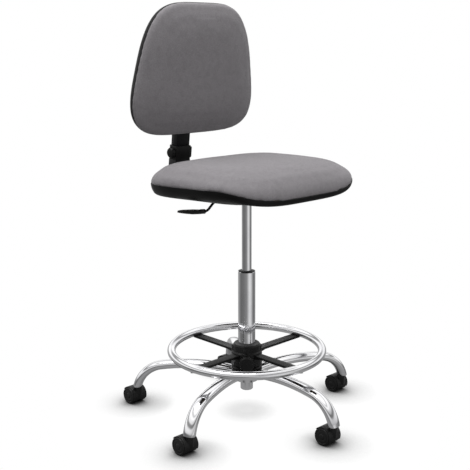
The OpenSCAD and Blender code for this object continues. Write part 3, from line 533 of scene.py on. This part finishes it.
class Workshop:
    """Makes meshes and turns them into pieces that ride on the chair's bodies."""

    def ring(self, bm: bmesh.types.BMesh, points: Ring) -> list[bmesh.types.BMVert]:
        """Starts a circle and moves its corners to the given points."""
        corners = bmesh.ops.create_circle(bm, segments=len(points), radius=1.0)["verts"]
        for corner, point in zip(corners, points):
            corner.co = point
        return corners

    def skin(self, rings: Sequence[Ring], loop: bool = False) -> bmesh.types.BMesh:
        """Bridges rings into a closed skin.

        Args:
            rings: Rings with as many points each.
            loop: Whether the last ring joins the first. If not, the two ends are filled.

        Returns:
            The new mesh.
        """
        bm = bmesh.new()
        corners = [self.ring(bm, points) for points in rings]
        edges = [[bm.edges.get((a, b)) for a, b in zip(row, row[1:] + row[:1])] for row in corners]
        pairs = list(zip(edges, edges[1:])) + ([(edges[-1], edges[0])] if loop else [])
        for first, second in pairs:
            bmesh.ops.bridge_loops(bm, edges=first + second)
        if not loop:
            for row in (edges[0], edges[-1]):
                cap = bmesh.ops.contextual_create(bm, geom=row)["faces"]
                bmesh.ops.poke(bm, faces=cap)
        bmesh.ops.recalc_face_normals(bm, faces=bm.faces)
        return bm

    def lathe(self, profile: Sequence[tuple[float, float]], steps: int = 64,
              place: Matrix = Matrix()) -> bmesh.types.BMesh:
        """Spins a closed profile round Z.

        Args:
            profile: Radius and height of each corner, in metres.
            steps: Steps of the turn.
            place: Where the finished shape goes.

        Returns:
            The new mesh.
        """
        bm = bmesh.new()
        corners = [bm.verts.new((radius, 0.0, height)) for radius, height in profile]
        edges = [bm.edges.new(pair) for pair in zip(corners, corners[1:] + corners[:1])]
        bmesh.ops.spin(bm, geom=corners + edges, cent=(0, 0, 0), axis=(0, 0, 1), angle=2 * math.pi,
                       steps=steps, use_merge=True, use_duplicate=False)
        bmesh.ops.remove_doubles(bm, verts=bm.verts, dist=1e-7)
        bmesh.ops.recalc_face_normals(bm, faces=bm.faces)
        bm.transform(place)
        return bm

    def piece(self, name: str, bm: bmesh.types.BMesh, slot: Slot, body: str, replaces: Sequence[str] = (),
              crease: float = CREASE) -> bpy.types.Object:
        """Turns a mesh into a piece that rides on a body.

        Args:
            name: The piece's name.
            bm: Its mesh, which is freed.
            slot: The material slot it takes its finish from.
            body: The body it rides on.
            replaces: CAD nodes that it stands for.
            crease: Edges sharper than this angle stay sharp, in degrees.

        Returns:
            The new piece.
        """
        mesh = bpy.data.meshes.new(name)
        for face in bm.faces:
            face.smooth = True
        bm.to_mesh(mesh)
        bm.free()
        mesh.set_sharp_from_angle(angle=math.radians(crease))
        mesh.materials.append(FINISHES[slot].material())
        made = bpy.data.objects.new(name, mesh)
        bpy.context.scene.collection.objects.link(made)
        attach(made, body)
        if replaces:
            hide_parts(*replaces)
        LOG.info("%s: %d faces, on %s", name, len(mesh.polygons), body)
        return made

    def softened(self, node: str, slot: Slot, body: str, width: float, name: str = "",
                 segments: int = 2) -> bpy.types.Object:
        """Stands a copy of a CAD node in its place, with its sharp edges rounded.

        Args:
            node: The CAD node.
            slot: The finish's slot.
            body: The body it rides on.
            width: Width of the rounding, in metres.
            name: The piece's name, if it isn't the node's with _moulded.
            segments: Steps of the rounding.

        Returns:
            The new piece.
        """
        bm = bmesh.new()
        bm.from_mesh(frame["nodes"][node].data)
        bmesh.ops.remove_doubles(bm, verts=bm.verts, dist=1e-6)
        bmesh.ops.join_triangles(bm, faces=bm.faces, angle_face_threshold=math.radians(0.5),
                                 angle_shape_threshold=math.radians(180))
        sharp = [e for e in bm.edges if e.is_manifold and e.calc_face_angle(0.0) > math.radians(40)]
        bmesh.ops.bevel(bm, geom=sharp, offset=width, offset_type="OFFSET", affect="EDGES", segments=segments,
                        profile=0.5, material=-1, clamp_overlap=True, harden_normals=False)
        bmesh.ops.dissolve_degenerate(bm, edges=bm.edges, dist=1e-7)
        return self.piece(name or node + "_moulded", bm, slot, body, [node])

    def baked(self, obj: bpy.types.Object) -> None:
        """Applies an object's modifiers to its mesh."""
        graph = bpy.context.evaluated_depsgraph_get()
        mesh = bpy.data.meshes.new_from_object(obj.evaluated_get(graph))
        obj.modifiers.clear()
        obj.data = mesh

    def opened(self, obj: bpy.types.Object, boxes: Sequence[tuple[Vector, Vector]]) -> None:
        """Cuts boxes out of a piece.

        Args:
            obj: The piece.
            boxes: Lowest and highest corner of each box.
        """
        for low, high in boxes:
            bm = bmesh.new()
            bmesh.ops.create_cube(bm, size=1.0)
            bmesh.ops.scale(bm, verts=bm.verts, vec=high - low)
            bmesh.ops.translate(bm, verts=bm.verts, vec=(low + high) / 2)
            mesh = bpy.data.meshes.new("cutter")
            bm.to_mesh(mesh)
            bm.free()
            cutter = bpy.data.objects.new("cutter", mesh)
            bpy.context.scene.collection.objects.link(cutter)
            cut = obj.modifiers.new("opening", "BOOLEAN")
            cut.operation, cut.solver, cut.object = "DIFFERENCE", "EXACT", cutter
            self.baked(obj)
            bpy.data.objects.remove(cutter, do_unlink=True)
        obj.data.set_sharp_from_angle(angle=math.radians(CREASE))


@dataclass
class Outline:
    """A rounded outline that narrows towards one side, as the seat's and the backrest's are."""

    half_u: float
    half_v: float
    power_u: float
    power_v: float
    narrow: float
    count: int = 144
    turns: list[float] = field(default_factory=list)

    def __post_init__(self) -> None:
        """Finds turns that space the outline's points evenly."""
        fine = np.linspace(0.0, 2 * math.pi, 4001)
        points = np.array([self.at(t, 0.0) for t in fine])
        run = np.concatenate([[0.0], np.cumsum(np.hypot(*np.diff(points, axis=0).T))])
        self.turns = list(np.interp(np.arange(self.count) / self.count * run[-1], run, fine))

    def at(self, turn: float, inset: float) -> tuple[float, float]:
        """Returns the outline's point at a turn, drawn in by inset."""
        v = (self.half_v - inset) * power(math.sin(turn), 2 / self.power_v)
        u = (self.half_u - inset) * (1 - self.narrow * v / self.half_v) * power(math.cos(turn), 2 / self.power_u)
        return u, v

    def ring(self, inset: float, shape: Callable[[float, float], Vector]) -> Ring:
        """Draws the outline at an inset and shapes each of its points."""
        return [shape(*self.at(turn, inset)) for turn in self.turns]


# ------------------------------------------------------------------ cushions


@dataclass
class Stuffing:
    """How a cushion is filled: its remesh, its pressure and how far the cloth may move."""

    voxel: float = 5 * MM
    pressure: float = 4.0
    reach: float = 6 * MM
    frames: int = 20
    calm: int = 60

    def fill(self, shop: Workshop, obj: bpy.types.Object, held: Callable[[Vector], float]) -> None:
        """Blows the cushion up a little with a cloth simulation and keeps the result.

        Args:
            shop: The workshop.
            obj: The cushion.
            held: How firmly a point is held, from 0 to 1.
        """
        remesh = obj.modifiers.new("even", "REMESH")
        remesh.mode, remesh.voxel_size, remesh.use_smooth_shade = "VOXEL", self.voxel, True
        shop.baked(obj)
        rest = np.array([v.co[:] for v in obj.data.vertices])
        pins = obj.vertex_groups.new(name="held")
        for vertex in obj.data.vertices:
            pins.add([vertex.index], held(vertex.co), "REPLACE")
        cloth = obj.modifiers.new("fill", "CLOTH")
        settings = cloth.settings
        settings.quality, settings.mass, settings.time_scale = 5, 0.3, 1.0
        settings.tension_stiffness = settings.compression_stiffness = 15.0
        settings.shear_stiffness, settings.bending_stiffness = 5.0, 2.0
        settings.use_pressure, settings.uniform_pressure_force = True, self.pressure
        settings.effector_weights.gravity = 0.0
        settings.vertex_group_mass = "held"
        cloth.collision_settings.use_collision = False
        cloth.point_cache.frame_start, cloth.point_cache.frame_end = 1, self.frames
        scene = bpy.context.scene
        for number in range(1, self.frames + 1):
            scene.frame_set(number)
        graph = bpy.context.evaluated_depsgraph_get()
        moved = np.array([v.co[:] for v in obj.evaluated_get(graph).data.vertices])
        obj.modifiers.clear()
        obj.vertex_groups.clear()
        scene.frame_set(1)
        shift = moved - rest
        length = np.linalg.norm(shift, axis=1, keepdims=True)
        shift = self.calmed(obj, shift * np.minimum(1.0, self.reach / np.maximum(length, 1e-9)))
        obj.data.vertices.foreach_set("co", (rest + shift).ravel())
        obj.data.update()
        LOG.info("%s filled, moved up to %.1f mm", obj.name, 1000 * np.linalg.norm(shift, axis=1).max())

    def calmed(self, obj: bpy.types.Object, shift: np.ndarray) -> np.ndarray:
        """Spreads each point's move over its neighbours, so that the cloth bulges without puckers.

        Args:
            obj: The cushion.
            shift: Each point's move.

        Returns:
            The calmed moves.
        """
        ends = np.array([edge.vertices[:] for edge in obj.data.edges])
        first, second = np.concatenate([ends[:, 0], ends[:, 1]]), np.concatenate([ends[:, 1], ends[:, 0]])
        count = np.bincount(first, minlength=len(shift))[:, None]
        for _ in range(self.calm):
            near = np.stack([np.bincount(first, shift[second, k], len(shift)) for k in range(3)], axis=1)
            shift = 0.5 * shift + 0.5 * near / count
        return shift


def relaxed(obj: bpy.types.Object, passes: int) -> None:
    """Smooths a mesh a little, once for each pass."""
    bm = bmesh.new()
    bm.from_mesh(obj.data)
    for _ in range(passes):
        bmesh.ops.smooth_vert(bm, verts=bm.verts, factor=0.5, use_axis_x=True, use_axis_y=True, use_axis_z=True)
    for face in bm.faces:
        face.smooth = True
    bm.to_mesh(obj.data)
    bm.free()


def pulled(obj: bpy.types.Object, shift: Callable[[Vector, Vector], Vector]) -> None:
    """Moves every point of a mesh by what shift gives for its place and normal."""
    moves = [shift(v.co, v.normal) for v in obj.data.vertices]
    for vertex, move in zip(obj.data.vertices, moves):
        vertex.co += move
    obj.data.update()


def refined(obj: bpy.types.Object) -> None:
    """Adds one level of subdivision."""
    made = obj.modifiers.new("smooth", "SUBSURF")
    made.levels = made.render_levels = 1


# ---------------------------------------------------------------------- seat


@dataclass
class Seat:
    """The padded seat in its black shell, and the mechanism under it."""

    shop: Workshop
    shift: float = 19 * MM
    seam_rear: float = 690 * MM
    seam_rise: float = 10 * MM
    waterfall: float = 36 * MM
    crown: float = 751 * MM
    depth: float = 33 * MM
    flat: float = 652 * MM
    board_top: float = 698 * MM
    wall: float = 3 * MM
    outline: Outline = field(default_factory=lambda: Outline(256 * MM, 225 * MM, 3.7, 4.03, 0.022))

    def seam(self, v: float) -> float:
        """Returns the seam's height at a depth."""
        s = v / self.outline.half_v
        return self.seam_rear + self.seam_rise * (1 - s) - self.waterfall * max(0.0, (-0.5 - s) / 0.5) ** 2

    def under(self, inset: float, depth: float, blend: float) -> Ring:
        """Returns a ring of the shell's underside."""
        def shape(u: float, v: float) -> Vector:
            low = self.seam(v) - depth * (0.95 + 0.2 * v / self.outline.half_v)
            return Vector((u, v - self.shift, mix(low, self.flat, blend)))
        return self.outline.ring(inset, shape)

    def top(self, angle: float) -> Ring:
        """Returns a ring of the cushion's crown, from 0 degrees at the seam inwards."""
        inset, slack = drawn_in(angle, 1.9)

        def shape(u: float, v: float) -> Vector:
            s = v / self.outline.half_v
            high = self.crown - 30 * MM * max(0.0, -0.35 - s) ** 2 - 4 * MM * s ** 2 - slack
            return Vector((u, v - self.shift, mix(self.seam(v), high, climbed(angle))))
        return self.outline.ring(inset, shape)

    def build_shell(self) -> None:
        """Moulds the shell: two skins a wall apart, with a window for the mechanism and the lever."""
        d = self.depth
        outside = [(2.0 * MM, 1.5 * MM, 0), (2.8 * MM, 0.25 * d, 0), (5 * MM, 0.5 * d, 0), (10 * MM, 0.78 * d, 0),
                   (18 * MM, 0.93 * d, 0.08), (34 * MM, d, 0.3), (60 * MM, d, 0.6), (95 * MM, d, 0.9),
                   (130 * MM, d, 1)]
        rows = smooth_rows(outside, 3)
        skins = [self.under(*row) for row in rows]
        inner = []
        for inset, depth, blend in reversed(rows):
            near = min(1.0, inset / (18 * MM))
            ring = self.under(inset + mix(self.wall, 0.4 * self.wall, near), depth, blend)
            lifted = self.wall * min(1.0, near + 0.1) if inset > 2 * MM else 0.0
            inner.append([point + Vector((0, 0, lifted)) for point in ring])
        bm = self.shop.skin(inner + skins)
        shell = self.shop.piece("seat_shell_moulding", bm, Slot.SHELL, "seat", ["seat_shell"])
        low, high = self.flat - 20 * MM, self.flat + 40 * MM
        self.shop.opened(shell, [
            (Vector((-105 * MM, -125 * MM, low)), Vector((105 * MM, 130 * MM, high))),
            (Vector((-145 * MM, -6.5 * MM, low)), Vector((-100 * MM, 6.5 * MM, high))),
        ])

    def build_cushion(self) -> None:
        """Fills the cushion, tucks its seam and lays shallow creases in the cloth."""
        base = [[Vector((u, v, self.board(v + self.shift, q))) for u, v in self.plan(16 * MM, q)]
                for q in (0.3, 0.6, 0.7, 0.8, 0.9, 1.0)]
        rim = [self.under(9 * MM, 5.5 * MM, 0), self.under(5 * MM, 5 * MM, 0), self.under(1.5 * MM, 2.5 * MM, 0)]
        crown = [self.top(angle) for angle in CROWN_ANGLES]
        bm = self.shop.skin(base + rim + crown)
        cushion = self.shop.piece("seat_cushion_cover", bm, Slot.FABRIC, "seat", ["seat_cushion"])

        Stuffing().fill(self.shop, cushion, lambda point: tucked(self.over_seam(point)))
        relaxed(cushion, 5)
        pulled(cushion, self.creases)
        refined(cushion)

    def plan(self, inset: float, q: float) -> list[tuple[float, float]]:
        """Returns the board's outline, shrunk to a share q and shifted to its place."""
        return [(q * u, q * v - self.shift) for u, v in (self.outline.at(t, inset) for t in self.outline.turns)]

    def board(self, v: float, q: float) -> float:
        """Returns the height of the plywood's upper face."""
        t = min(1.0, max(0.0, (q - 0.6) / 0.4))
        return mix(self.board_top, self.seam(v), t * t * (3 - 2 * t))

    def over_seam(self, point: Vector) -> float:
        """Returns a point's height over the seam."""
        return point.z - self.seam(point.y + self.shift)

    def creases(self, point: Vector, normal: Vector) -> Vector:
        """Gives the cloth's slight unevenness and the pull lines above the seam."""
        angle = math.atan2(point.y + self.shift, point.x)
        return normal * creased(self.over_seam(point), angle, point.z, 1.1 * MM * noise.noise(point * 9.0))

    def build_mechanism(self) -> None:
        """Rounds the pressed steel under the seat and the lever that works the valve."""
        self.shop.softened("seat_mechanism", Slot.PAINT, "seat", 0.7 * MM)
        self.shop.softened("lever_rod", Slot.PAINT, "lever", 0.3 * MM)
        self.shop.softened("lever_paddle", Slot.PLASTIC, "lever", 1.6 * MM, segments=3)
        self.shop.softened("tilt_spring", Slot.STEEL, "seat", 0.05 * MM)

    def build(self) -> None:
        """Builds the whole seat."""
        self.build_shell()
        self.build_cushion()
        self.build_mechanism()


# ---------------------------------------------------------------------- back


@dataclass
class Back:
    """The padded backrest in its shell, on its upright and clamp."""

    shop: Workshop
    lean: float = math.radians(6.5)
    y: float = 205 * MM
    z: float = 995 * MM
    crown: float = 36 * MM
    depth: float = 34 * MM
    wall: float = 3 * MM
    outline: Outline = field(default_factory=lambda: Outline(219 * MM, 190 * MM, 4.5, 3.03, 0.177))

    def place(self) -> Matrix:
        """Returns where the backrest stands."""
        return Matrix.Translation((0, self.y, self.z)) @ Matrix.Rotation(self.lean, 4, "X")

    def flat(self, inset: float, y: float) -> Ring:
        """Returns a ring of the backrest in its own plane, at a depth."""
        place = self.place()
        return self.outline.ring(inset, lambda u, v: place @ Vector((u, y, v)))

    def build_shell(self) -> None:
        """Moulds the shell behind the cushion."""
        d = self.depth / MM
        outside = [(2.0, 1.5), (3.6, 0.3 * d), (8, 0.6 * d), (18, 0.83 * d), (36, 0.94 * d), (70, d), (105, d)]
        rows = [(inset * MM, min(self.depth, deep * MM)) for inset, deep in smooth_rows(outside, 4)]
        inner = [(inset + self.wall, max(0.3 * MM, deep - self.wall * min(1.0, deep / (10 * MM))))
                 for inset, deep in reversed(rows)]
        bm = self.shop.skin([self.flat(*row) for row in inner] + [self.flat(*row) for row in rows])
        self.shop.piece("back_shell_moulding", bm, Slot.SHELL, "back", ["back_shell"])

    def build_cushion(self) -> None:
        """Fills the cushion and lays shallow creases in the cloth."""
        crown = []
        for angle in reversed(CROWN_ANGLES):
            inset, slack = drawn_in(angle, 1.6)
            crown.append(self.flat(inset, -(self.crown - slack) * climbed(angle)))
        rim = [self.flat(inset * MM, y * MM) for inset, y in ((1.5, 2.5), (5, 5), (9, 5.5), (20, 0))]
        bm = self.shop.skin(crown + rim)
        cushion = self.shop.piece("back_cushion_cover", bm, Slot.FABRIC, "back", ["back_cushion"])
        home = self.place().inverted()

        def creases(point: Vector, normal: Vector) -> Vector:
            own = home @ point
            angle = math.atan2(own.z, own.x)
            return normal * creased(-own.y, angle, own.y, 1.0 * MM * noise.noise(own * 10.0))

        Stuffing().fill(self.shop, cushion, lambda point: tucked(-(home @ point).y))
        relaxed(cushion, 3)
        pulled(cushion, creases)
        refined(cushion)

    def build_support(self) -> None:
        """Rounds the arm, the upright and the clamp between them."""
        self.shop.softened("back_arm", Slot.PAINT, "back_support", 0.8 * MM)
        self.shop.softened("clamp_housing", Slot.PLASTIC, "back_support", 1.0 * MM)
        self.shop.softened("clamp_cap", Slot.PLASTIC, "back_support", 1.0 * MM)
        self.shop.softened("clamp_knob", Slot.PLASTIC, "back_clamp", 0.7 * MM)
        self.shop.softened("back_upright", Slot.PAINT, "back", 0.8 * MM)

    def build(self) -> None:
        """Builds the whole backrest."""
        self.build_shell()
        self.build_cushion()
        self.build_support()


# ---------------------------------------------------------------------- base


@dataclass
class Base:
    """The five chromed arms, their collar and the twin-wheel castors' housings and caps."""

    shop: Workshop
    stem_circle: float = 331 * MM
    end_z: float = 56 * MM
    top_z: float = 137 * MM
    section: tuple[float, float] = (26 * MM, 36 * MM)
    wall: float = 2 * MM
    arch: float = 600 * MM
    bend: float = 95 * MM
    join: float = math.radians(10)
    hub: float = 33 * MM
    corner: float = 0.85
    sides: int = 36
    cap_face: float = 25.6 * MM

    def path(self) -> list[tuple[float, float, float]]:
        """Returns stations along an arm: radius, height and fall."""
        bend_z = self.top_z - self.arch * (1 - math.cos(self.join)) - self.bend * math.cos(self.join)
        end_r = self.stem_circle + 2.7 * MM
        bend_r = end_r - math.sqrt(self.bend ** 2 - (self.end_z - bend_z) ** 2)
        arch_r = bend_r + (self.bend - self.arch) * math.sin(self.join)
        arch_z = self.top_z - self.arch
        root = -math.asin((arch_r - (self.hub - 1.5 * MM)) / self.arch)
        last = math.acos((self.end_z - bend_z) / self.bend)
        stations = [(arch_r + self.arch * math.sin(a), arch_z + self.arch * math.cos(a), -a)
                    for a in np.linspace(root, self.join, 12)]
        stations += [(bend_r + self.bend * math.sin(a), bend_z + self.bend * math.cos(a), -a)
                     for a in np.linspace(self.join, last, 22)[1:]]
        return stations

    def section_ring(self, station: tuple[float, float, float], extra: float) -> Ring:
        """Returns the tube's outline at a station, grown by extra."""
        radius, height, fall = station
        ring = []
        for i in range(self.sides):
            t = 2 * math.pi * i / self.sides
            up = (self.section[0] / 2 + extra) * power(math.cos(t), self.corner)
            across = (self.section[1] / 2 + extra) * power(math.sin(t), self.corner)
            ring.append(Vector((radius - up * math.sin(fall), across, height + up * math.cos(fall))))
        return ring

    def build_arms(self) -> None:
        """Bends the five arms and rounds their open ends."""
        path = self.path()
        for number in CASTORS:
            turn = Matrix.Rotation(math.radians(-90 + 72 * (number - 1)), 4, "Z")
            outer = [self.section_ring(s, 0.0) for s in path]
            edge = self.section_ring(path[-1], -0.6 * MM)
            inner = [self.section_ring(s, -self.wall) for s in (path[-1], path[-4], path[-8])]
            for ring, lift in ((outer[-1], 0.7 * MM), (edge, 0.0), (inner[0], 0.4 * MM)):
                for point in ring:
                    point.z = self.end_z + lift
            bm = self.shop.skin(outer + [edge] + inner)
            bm.transform(turn)
            self.shop.piece(f"arm_{number}_tube", bm, Slot.CHROME, "base", [f"base_arm_{number}"], crease=50)

    def build_castor(self, number: int) -> None:
        """Rounds a castor's housing and fits a moulded cap on each wheel."""
        name = f"castor_{number}"
        self.shop.softened(name + "_housing", Slot.CASTOR, name, 0.9 * MM)
        low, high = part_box(name + "_axle")
        middle = (Vector(low) + Vector(high)) / 2
        profile = [(0, -0.2), (0, 0.9), (3, 1.0), (6.2, 0.8), (7, 0.1), (9.2, -0.9), (10.2, -0.35), (15.5, -0.2),
                   (17.6, -0.5), (18.4, -1.1), (18.4, -2.2), (6, -2.2)]
        for side, label in ((-1, "left"), (1, "right")):
            face = middle + Vector((side * self.cap_face, 0, 0))
            place = Matrix.Translation(face) @ Matrix.Rotation(side * math.pi / 2, 4, "Y")
            bm = self.shop.lathe([(r * MM, h * MM) for r, h in profile], 56, place)
            self.shop.piece(f"{name}_cap_{label}", bm, Slot.CASTOR, f"{name}_{label}", crease=30)

    def build(self) -> None:
        """Builds the whole base."""
        self.build_arms()
        self.shop.softened("base_collar", Slot.PLASTIC, "base", 0.8 * MM)
        for number in CASTORS:
            self.build_castor(number)


# ---------------------------------------------------------- column, foot ring


@dataclass
class FootRing:
    """The foot ring, its spoked hub and its clamping knob."""

    shop: Workshop
    radius: float = 220 * MM
    tube: float = 12 * MM
    level: float = 193.05 * MM

    def build(self) -> None:
        """Bends the ring and rounds the moulded hub and knob."""
        turns = [2 * math.pi * i / 32 for i in range(32)]
        section = [(self.radius + self.tube * math.cos(t), self.level + self.tube * math.sin(t)) for t in turns]
        self.shop.piece("footring_ring", self.shop.lathe(section, 200), Slot.CHROME, "footring", ["footring_tube"])
        self.shop.softened("footring_hub", Slot.PLASTIC, "footring", 1.2 * MM)
        self.shop.softened("footring_knob", Slot.PLASTIC, "footring_clamp", 1.0 * MM)


# -------------------------------------------------------------------- studio


@dataclass
class Studio:
    """The pale floor, the soft lights and the camera.

    Attributes:
        shade_reach: How near the chair has to be to shade the floor.
        shade_depth: How dark that shade is.
        pale: The floor's brightness to the camera.
        bounce: The floor's brightness to reflections and as a light.
        room: The brightness of the surroundings as a light. The camera sees them white.
        bands: Turn in degrees and grey of the surroundings below the horizon.
        walls: Turn in degrees and grey of the surroundings above it.
        rings: Sine of the elevation and grey of the ceiling.
    """

    eye: tuple[float, float, float] = (-1.7543, -1.7543, 1.072)
    azimuth: float = math.radians(-45)
    pitch: float = math.radians(12.24)
    yaw: float = math.radians(-0.77)
    roll: float = math.radians(-0.18)
    lens: float = 68.2
    sensor: float = 36.0
    floor_r: float = 0.56
    shade_reach: float = 0.115
    shade_depth: float = 2.6
    pale: float = 1.03
    bounce: float = 0.34
    room: float = 1.5
    key: float = 58.0
    fill: float = 0.3
    bands: tuple[tuple[float, float], ...] = (
        (-180, 0.31), (-125, 0.26), (-84, 0.11), (-40, 0.13), (0, 0.19), (16, 0.33), (34, 0.58), (58, 0.52),
        (82, 0.22), (112, 0.10), (140, 0.22), (180, 0.31))
    walls: tuple[tuple[float, float], ...] = (
        (-180, 0.95), (-100, 0.85), (-40, 0.70), (0, 0.56), (30, 0.48), (70, 0.52), (110, 0.8), (180, 0.95))
    rings: tuple[tuple[float, float], ...] = (
        (0.0, 0.62), (0.18, 0.90), (0.30, 0.95), (0.40, 0.30), (0.50, 0.28), (0.58, 0.90), (0.74, 1.0),
        (0.82, 0.45), (0.90, 0.9), (1.0, 1.0))

    def camera(self) -> None:
        """Stands the camera."""
        forward = Vector((math.sin(self.yaw) * math.cos(self.pitch), math.cos(self.yaw) * math.cos(self.pitch),
                          -math.sin(self.pitch)))
        right = Vector((math.cos(self.yaw), -math.sin(self.yaw), 0))
        up = right.cross(forward)
        side = math.cos(self.roll) * right + math.sin(self.roll) * up
        above = -math.sin(self.roll) * right + math.cos(self.roll) * up
        turn = Matrix.Rotation(self.azimuth, 3, "Z")
        view = Matrix([turn @ side, turn @ above, turn @ -forward]).transposed().to_4x4()
        data = bpy.data.cameras.new("camera")
        data.lens, data.sensor_width, data.sensor_fit = self.lens, self.sensor, "HORIZONTAL"
        data.clip_start, data.clip_end = 0.05, 60.0
        made = bpy.data.objects.new("camera", data)
        made.matrix_world = Matrix.Translation(self.eye) @ view
        bpy.context.scene.collection.objects.link(made)
        bpy.context.scene.camera = made

    def light(self, name: str, place: tuple[float, float, float], aim: tuple[float, float, float],
              size: tuple[float, float], power_w: float, spread: float = 180.0) -> None:
        """Hangs a soft light.

        Args:
            name: Its name.
            place: Where it hangs.
            aim: Where it points.
            size: Its width and height.
            power_w: Its power, in watts.
            spread: The angle that it shines into, in degrees.
        """
        data = bpy.data.lights.new(name, "AREA")
        data.shape, data.size, data.size_y = "RECTANGLE", *size
        data.energy, data.spread = power_w, math.radians(spread)
        made = bpy.data.objects.new(name, data)
        ray = Vector(aim) - Vector(place)
        made.matrix_world = Matrix.Translation(place) @ ray.to_track_quat("-Z", "Y").to_matrix().to_4x4()
        bpy.context.scene.collection.objects.link(made)

    def floor(self) -> None:
        """Lays the round pale floor, which glows by itself, less where the chair hides it."""
        bm = bmesh.new()
        bmesh.ops.create_circle(bm, cap_ends=True, segments=96, radius=self.floor_r)
        mesh = bpy.data.meshes.new("studio_floor")
        bm.to_mesh(mesh)
        bm.free()
        made = bpy.data.objects.new("studio_floor", mesh)
        paper = bpy.data.materials.new("studio_paper")
        paper.use_nodes = True
        tree = Tree(paper.node_tree)
        shader = paper.node_tree.nodes["Principled BSDF"]
        # Painted contact shadow: ambient occlusion dims the floor's own glow where the chair is close to it.
        hidden = tree.node("AmbientOcclusion", samples=12)
        hidden.inputs["Distance"].default_value = self.shade_reach
        open_sky = tree.math("POWER", hidden.outputs["AO"], self.shade_depth)
        seen = tree.node("LightPath").outputs["Is Camera Ray"]
        bright = tree.math("MULTIPLY_ADD", seen, self.pale - self.bounce, self.bounce)
        glow = tree.math("MULTIPLY", open_sky, bright)
        shader.inputs["Base Color"].default_value = (0.0, 0.0, 0.0, 1.0)
        shader.inputs["Emission Color"].default_value = (1.0, 1.0, 1.0, 1.0)
        shader.inputs["Specular IOR Level"].default_value = 0.0
        tree.feed(shader.inputs["Emission Strength"], glow)
        mesh.materials.append(paper)
        bpy.context.scene.collection.objects.link(made)
        made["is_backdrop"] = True

    def surroundings(self) -> None:
        """Hangs the studio round the chair: white to look at, and banded like a room to light with."""
        world = bpy.data.worlds.new("studio")
        world.use_nodes = True
        tree = Tree(world.node_tree)
        x, y, z = tree.split(tree.node("TexCoord").outputs["Generated"])
        half = math.sqrt(0.5)
        toward = tree.math("MULTIPLY", tree.math("ADD", x, y), -half)
        across = tree.math("MULTIPLY", tree.math("SUBTRACT", x, y), half)
        around = tree.math("MULTIPLY_ADD", tree.math("ARCTAN2", across, toward), 0.5 / math.pi, 0.5)
        below = self.ramp(tree, around, [(0.5 + degrees / 360, bright) for degrees, bright in self.bands])
        side = self.ramp(tree, around, [(0.5 + degrees / 360, bright) for degrees, bright in self.walls])
        ceiling = self.ramp(tree, z, self.rings)
        above = tree.node("VectorMath", operation="MULTIPLY")
        tree.feed(above.inputs[0], side)
        tree.feed(above.inputs[1], ceiling)
        lit = world.node_tree.nodes["Background"]
        sky = tree.blend(tree.remap(z, 0.62, 0.8), above.outputs[0], ceiling)
        tree.feed(lit.inputs[0], tree.blend(tree.remap(z, -0.03, 0.06), below, sky))
        lit.inputs[1].default_value = self.room
        seen = tree.node("Background")
        seen.inputs[0].default_value = (1.0, 1.0, 1.0, 1.0)
        seen.inputs[1].default_value = 1.0
        both = tree.node("MixShader")
        tree.feed(both.inputs[0], tree.node("LightPath").outputs["Is Camera Ray"])
        tree.feed(both.inputs[1], lit.outputs[0])
        tree.feed(both.inputs[2], seen.outputs[0])
        tree.feed(world.node_tree.nodes["World Output"].inputs[0], both.outputs[0])
        bpy.context.scene.world = world

    def ramp(self, tree: Tree, place: object, stops: Sequence[tuple[float, float]]) -> bpy.types.NodeSocket:
        """Adds a ramp of greys and returns its colour.

        Args:
            tree: The tree to add it to.
            place: Where on the ramp to read.
            stops: Places and greys, from low to high.

        Returns:
            The ramp's colour.
        """
        made = tree.node("ValToRGB")
        bands = made.color_ramp.elements
        while len(bands) < len(stops):
            bands.new(0.5)
        for band, (where, bright) in zip(bands, stops):
            band.position = where
            band.color = (bright, bright, bright, 1.0)
        tree.feed(made.inputs[0], place)
        return made.outputs[0]

    def build(self) -> None:
        """Builds the studio."""
        bpy.context.scene.view_settings.view_transform = "Standard"
        self.surroundings()
        self.floor()
        self.light("top_soft", (-0.5, 0.35, 3.0), (0, 0, 0.6), (1.8, 1.8), self.key)
        self.light("back_fill", (-0.5, -2.6, 1.35), (0, 0.15, 1.06), (0.5, 0.5), self.fill, spread=24.0)
        self.camera()


def dress_frame() -> None:
    """Gives every CAD node that stays the finish of its slot."""
    slots = {part["node"]: Slot(part["material_slot"]) for part in frame["record"]["subparts"]}
    for name, node in frame["nodes"].items():
        for place in node.material_slots:
            place.material = FINISHES[slots[name]].material()


def corners(bounds: object) -> list[list[float]]:
    """Returns a box as plain lists of numbers."""
    return [[float(c) for c in corner] for corner in bounds]


def main() -> None:
    """Builds the chair and its studio, part by part."""
    shop = Workshop()
    dress_frame()
    for unit in (Base(shop), FootRing(shop), Seat(shop), Back(shop), Studio()):
        LOG.info("building %s", type(unit).__name__)
        unit.build()
    {"cad": corners(CAD_BOUNDS), "visual": corners(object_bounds())}


if __name__ == "__main__":
    main()
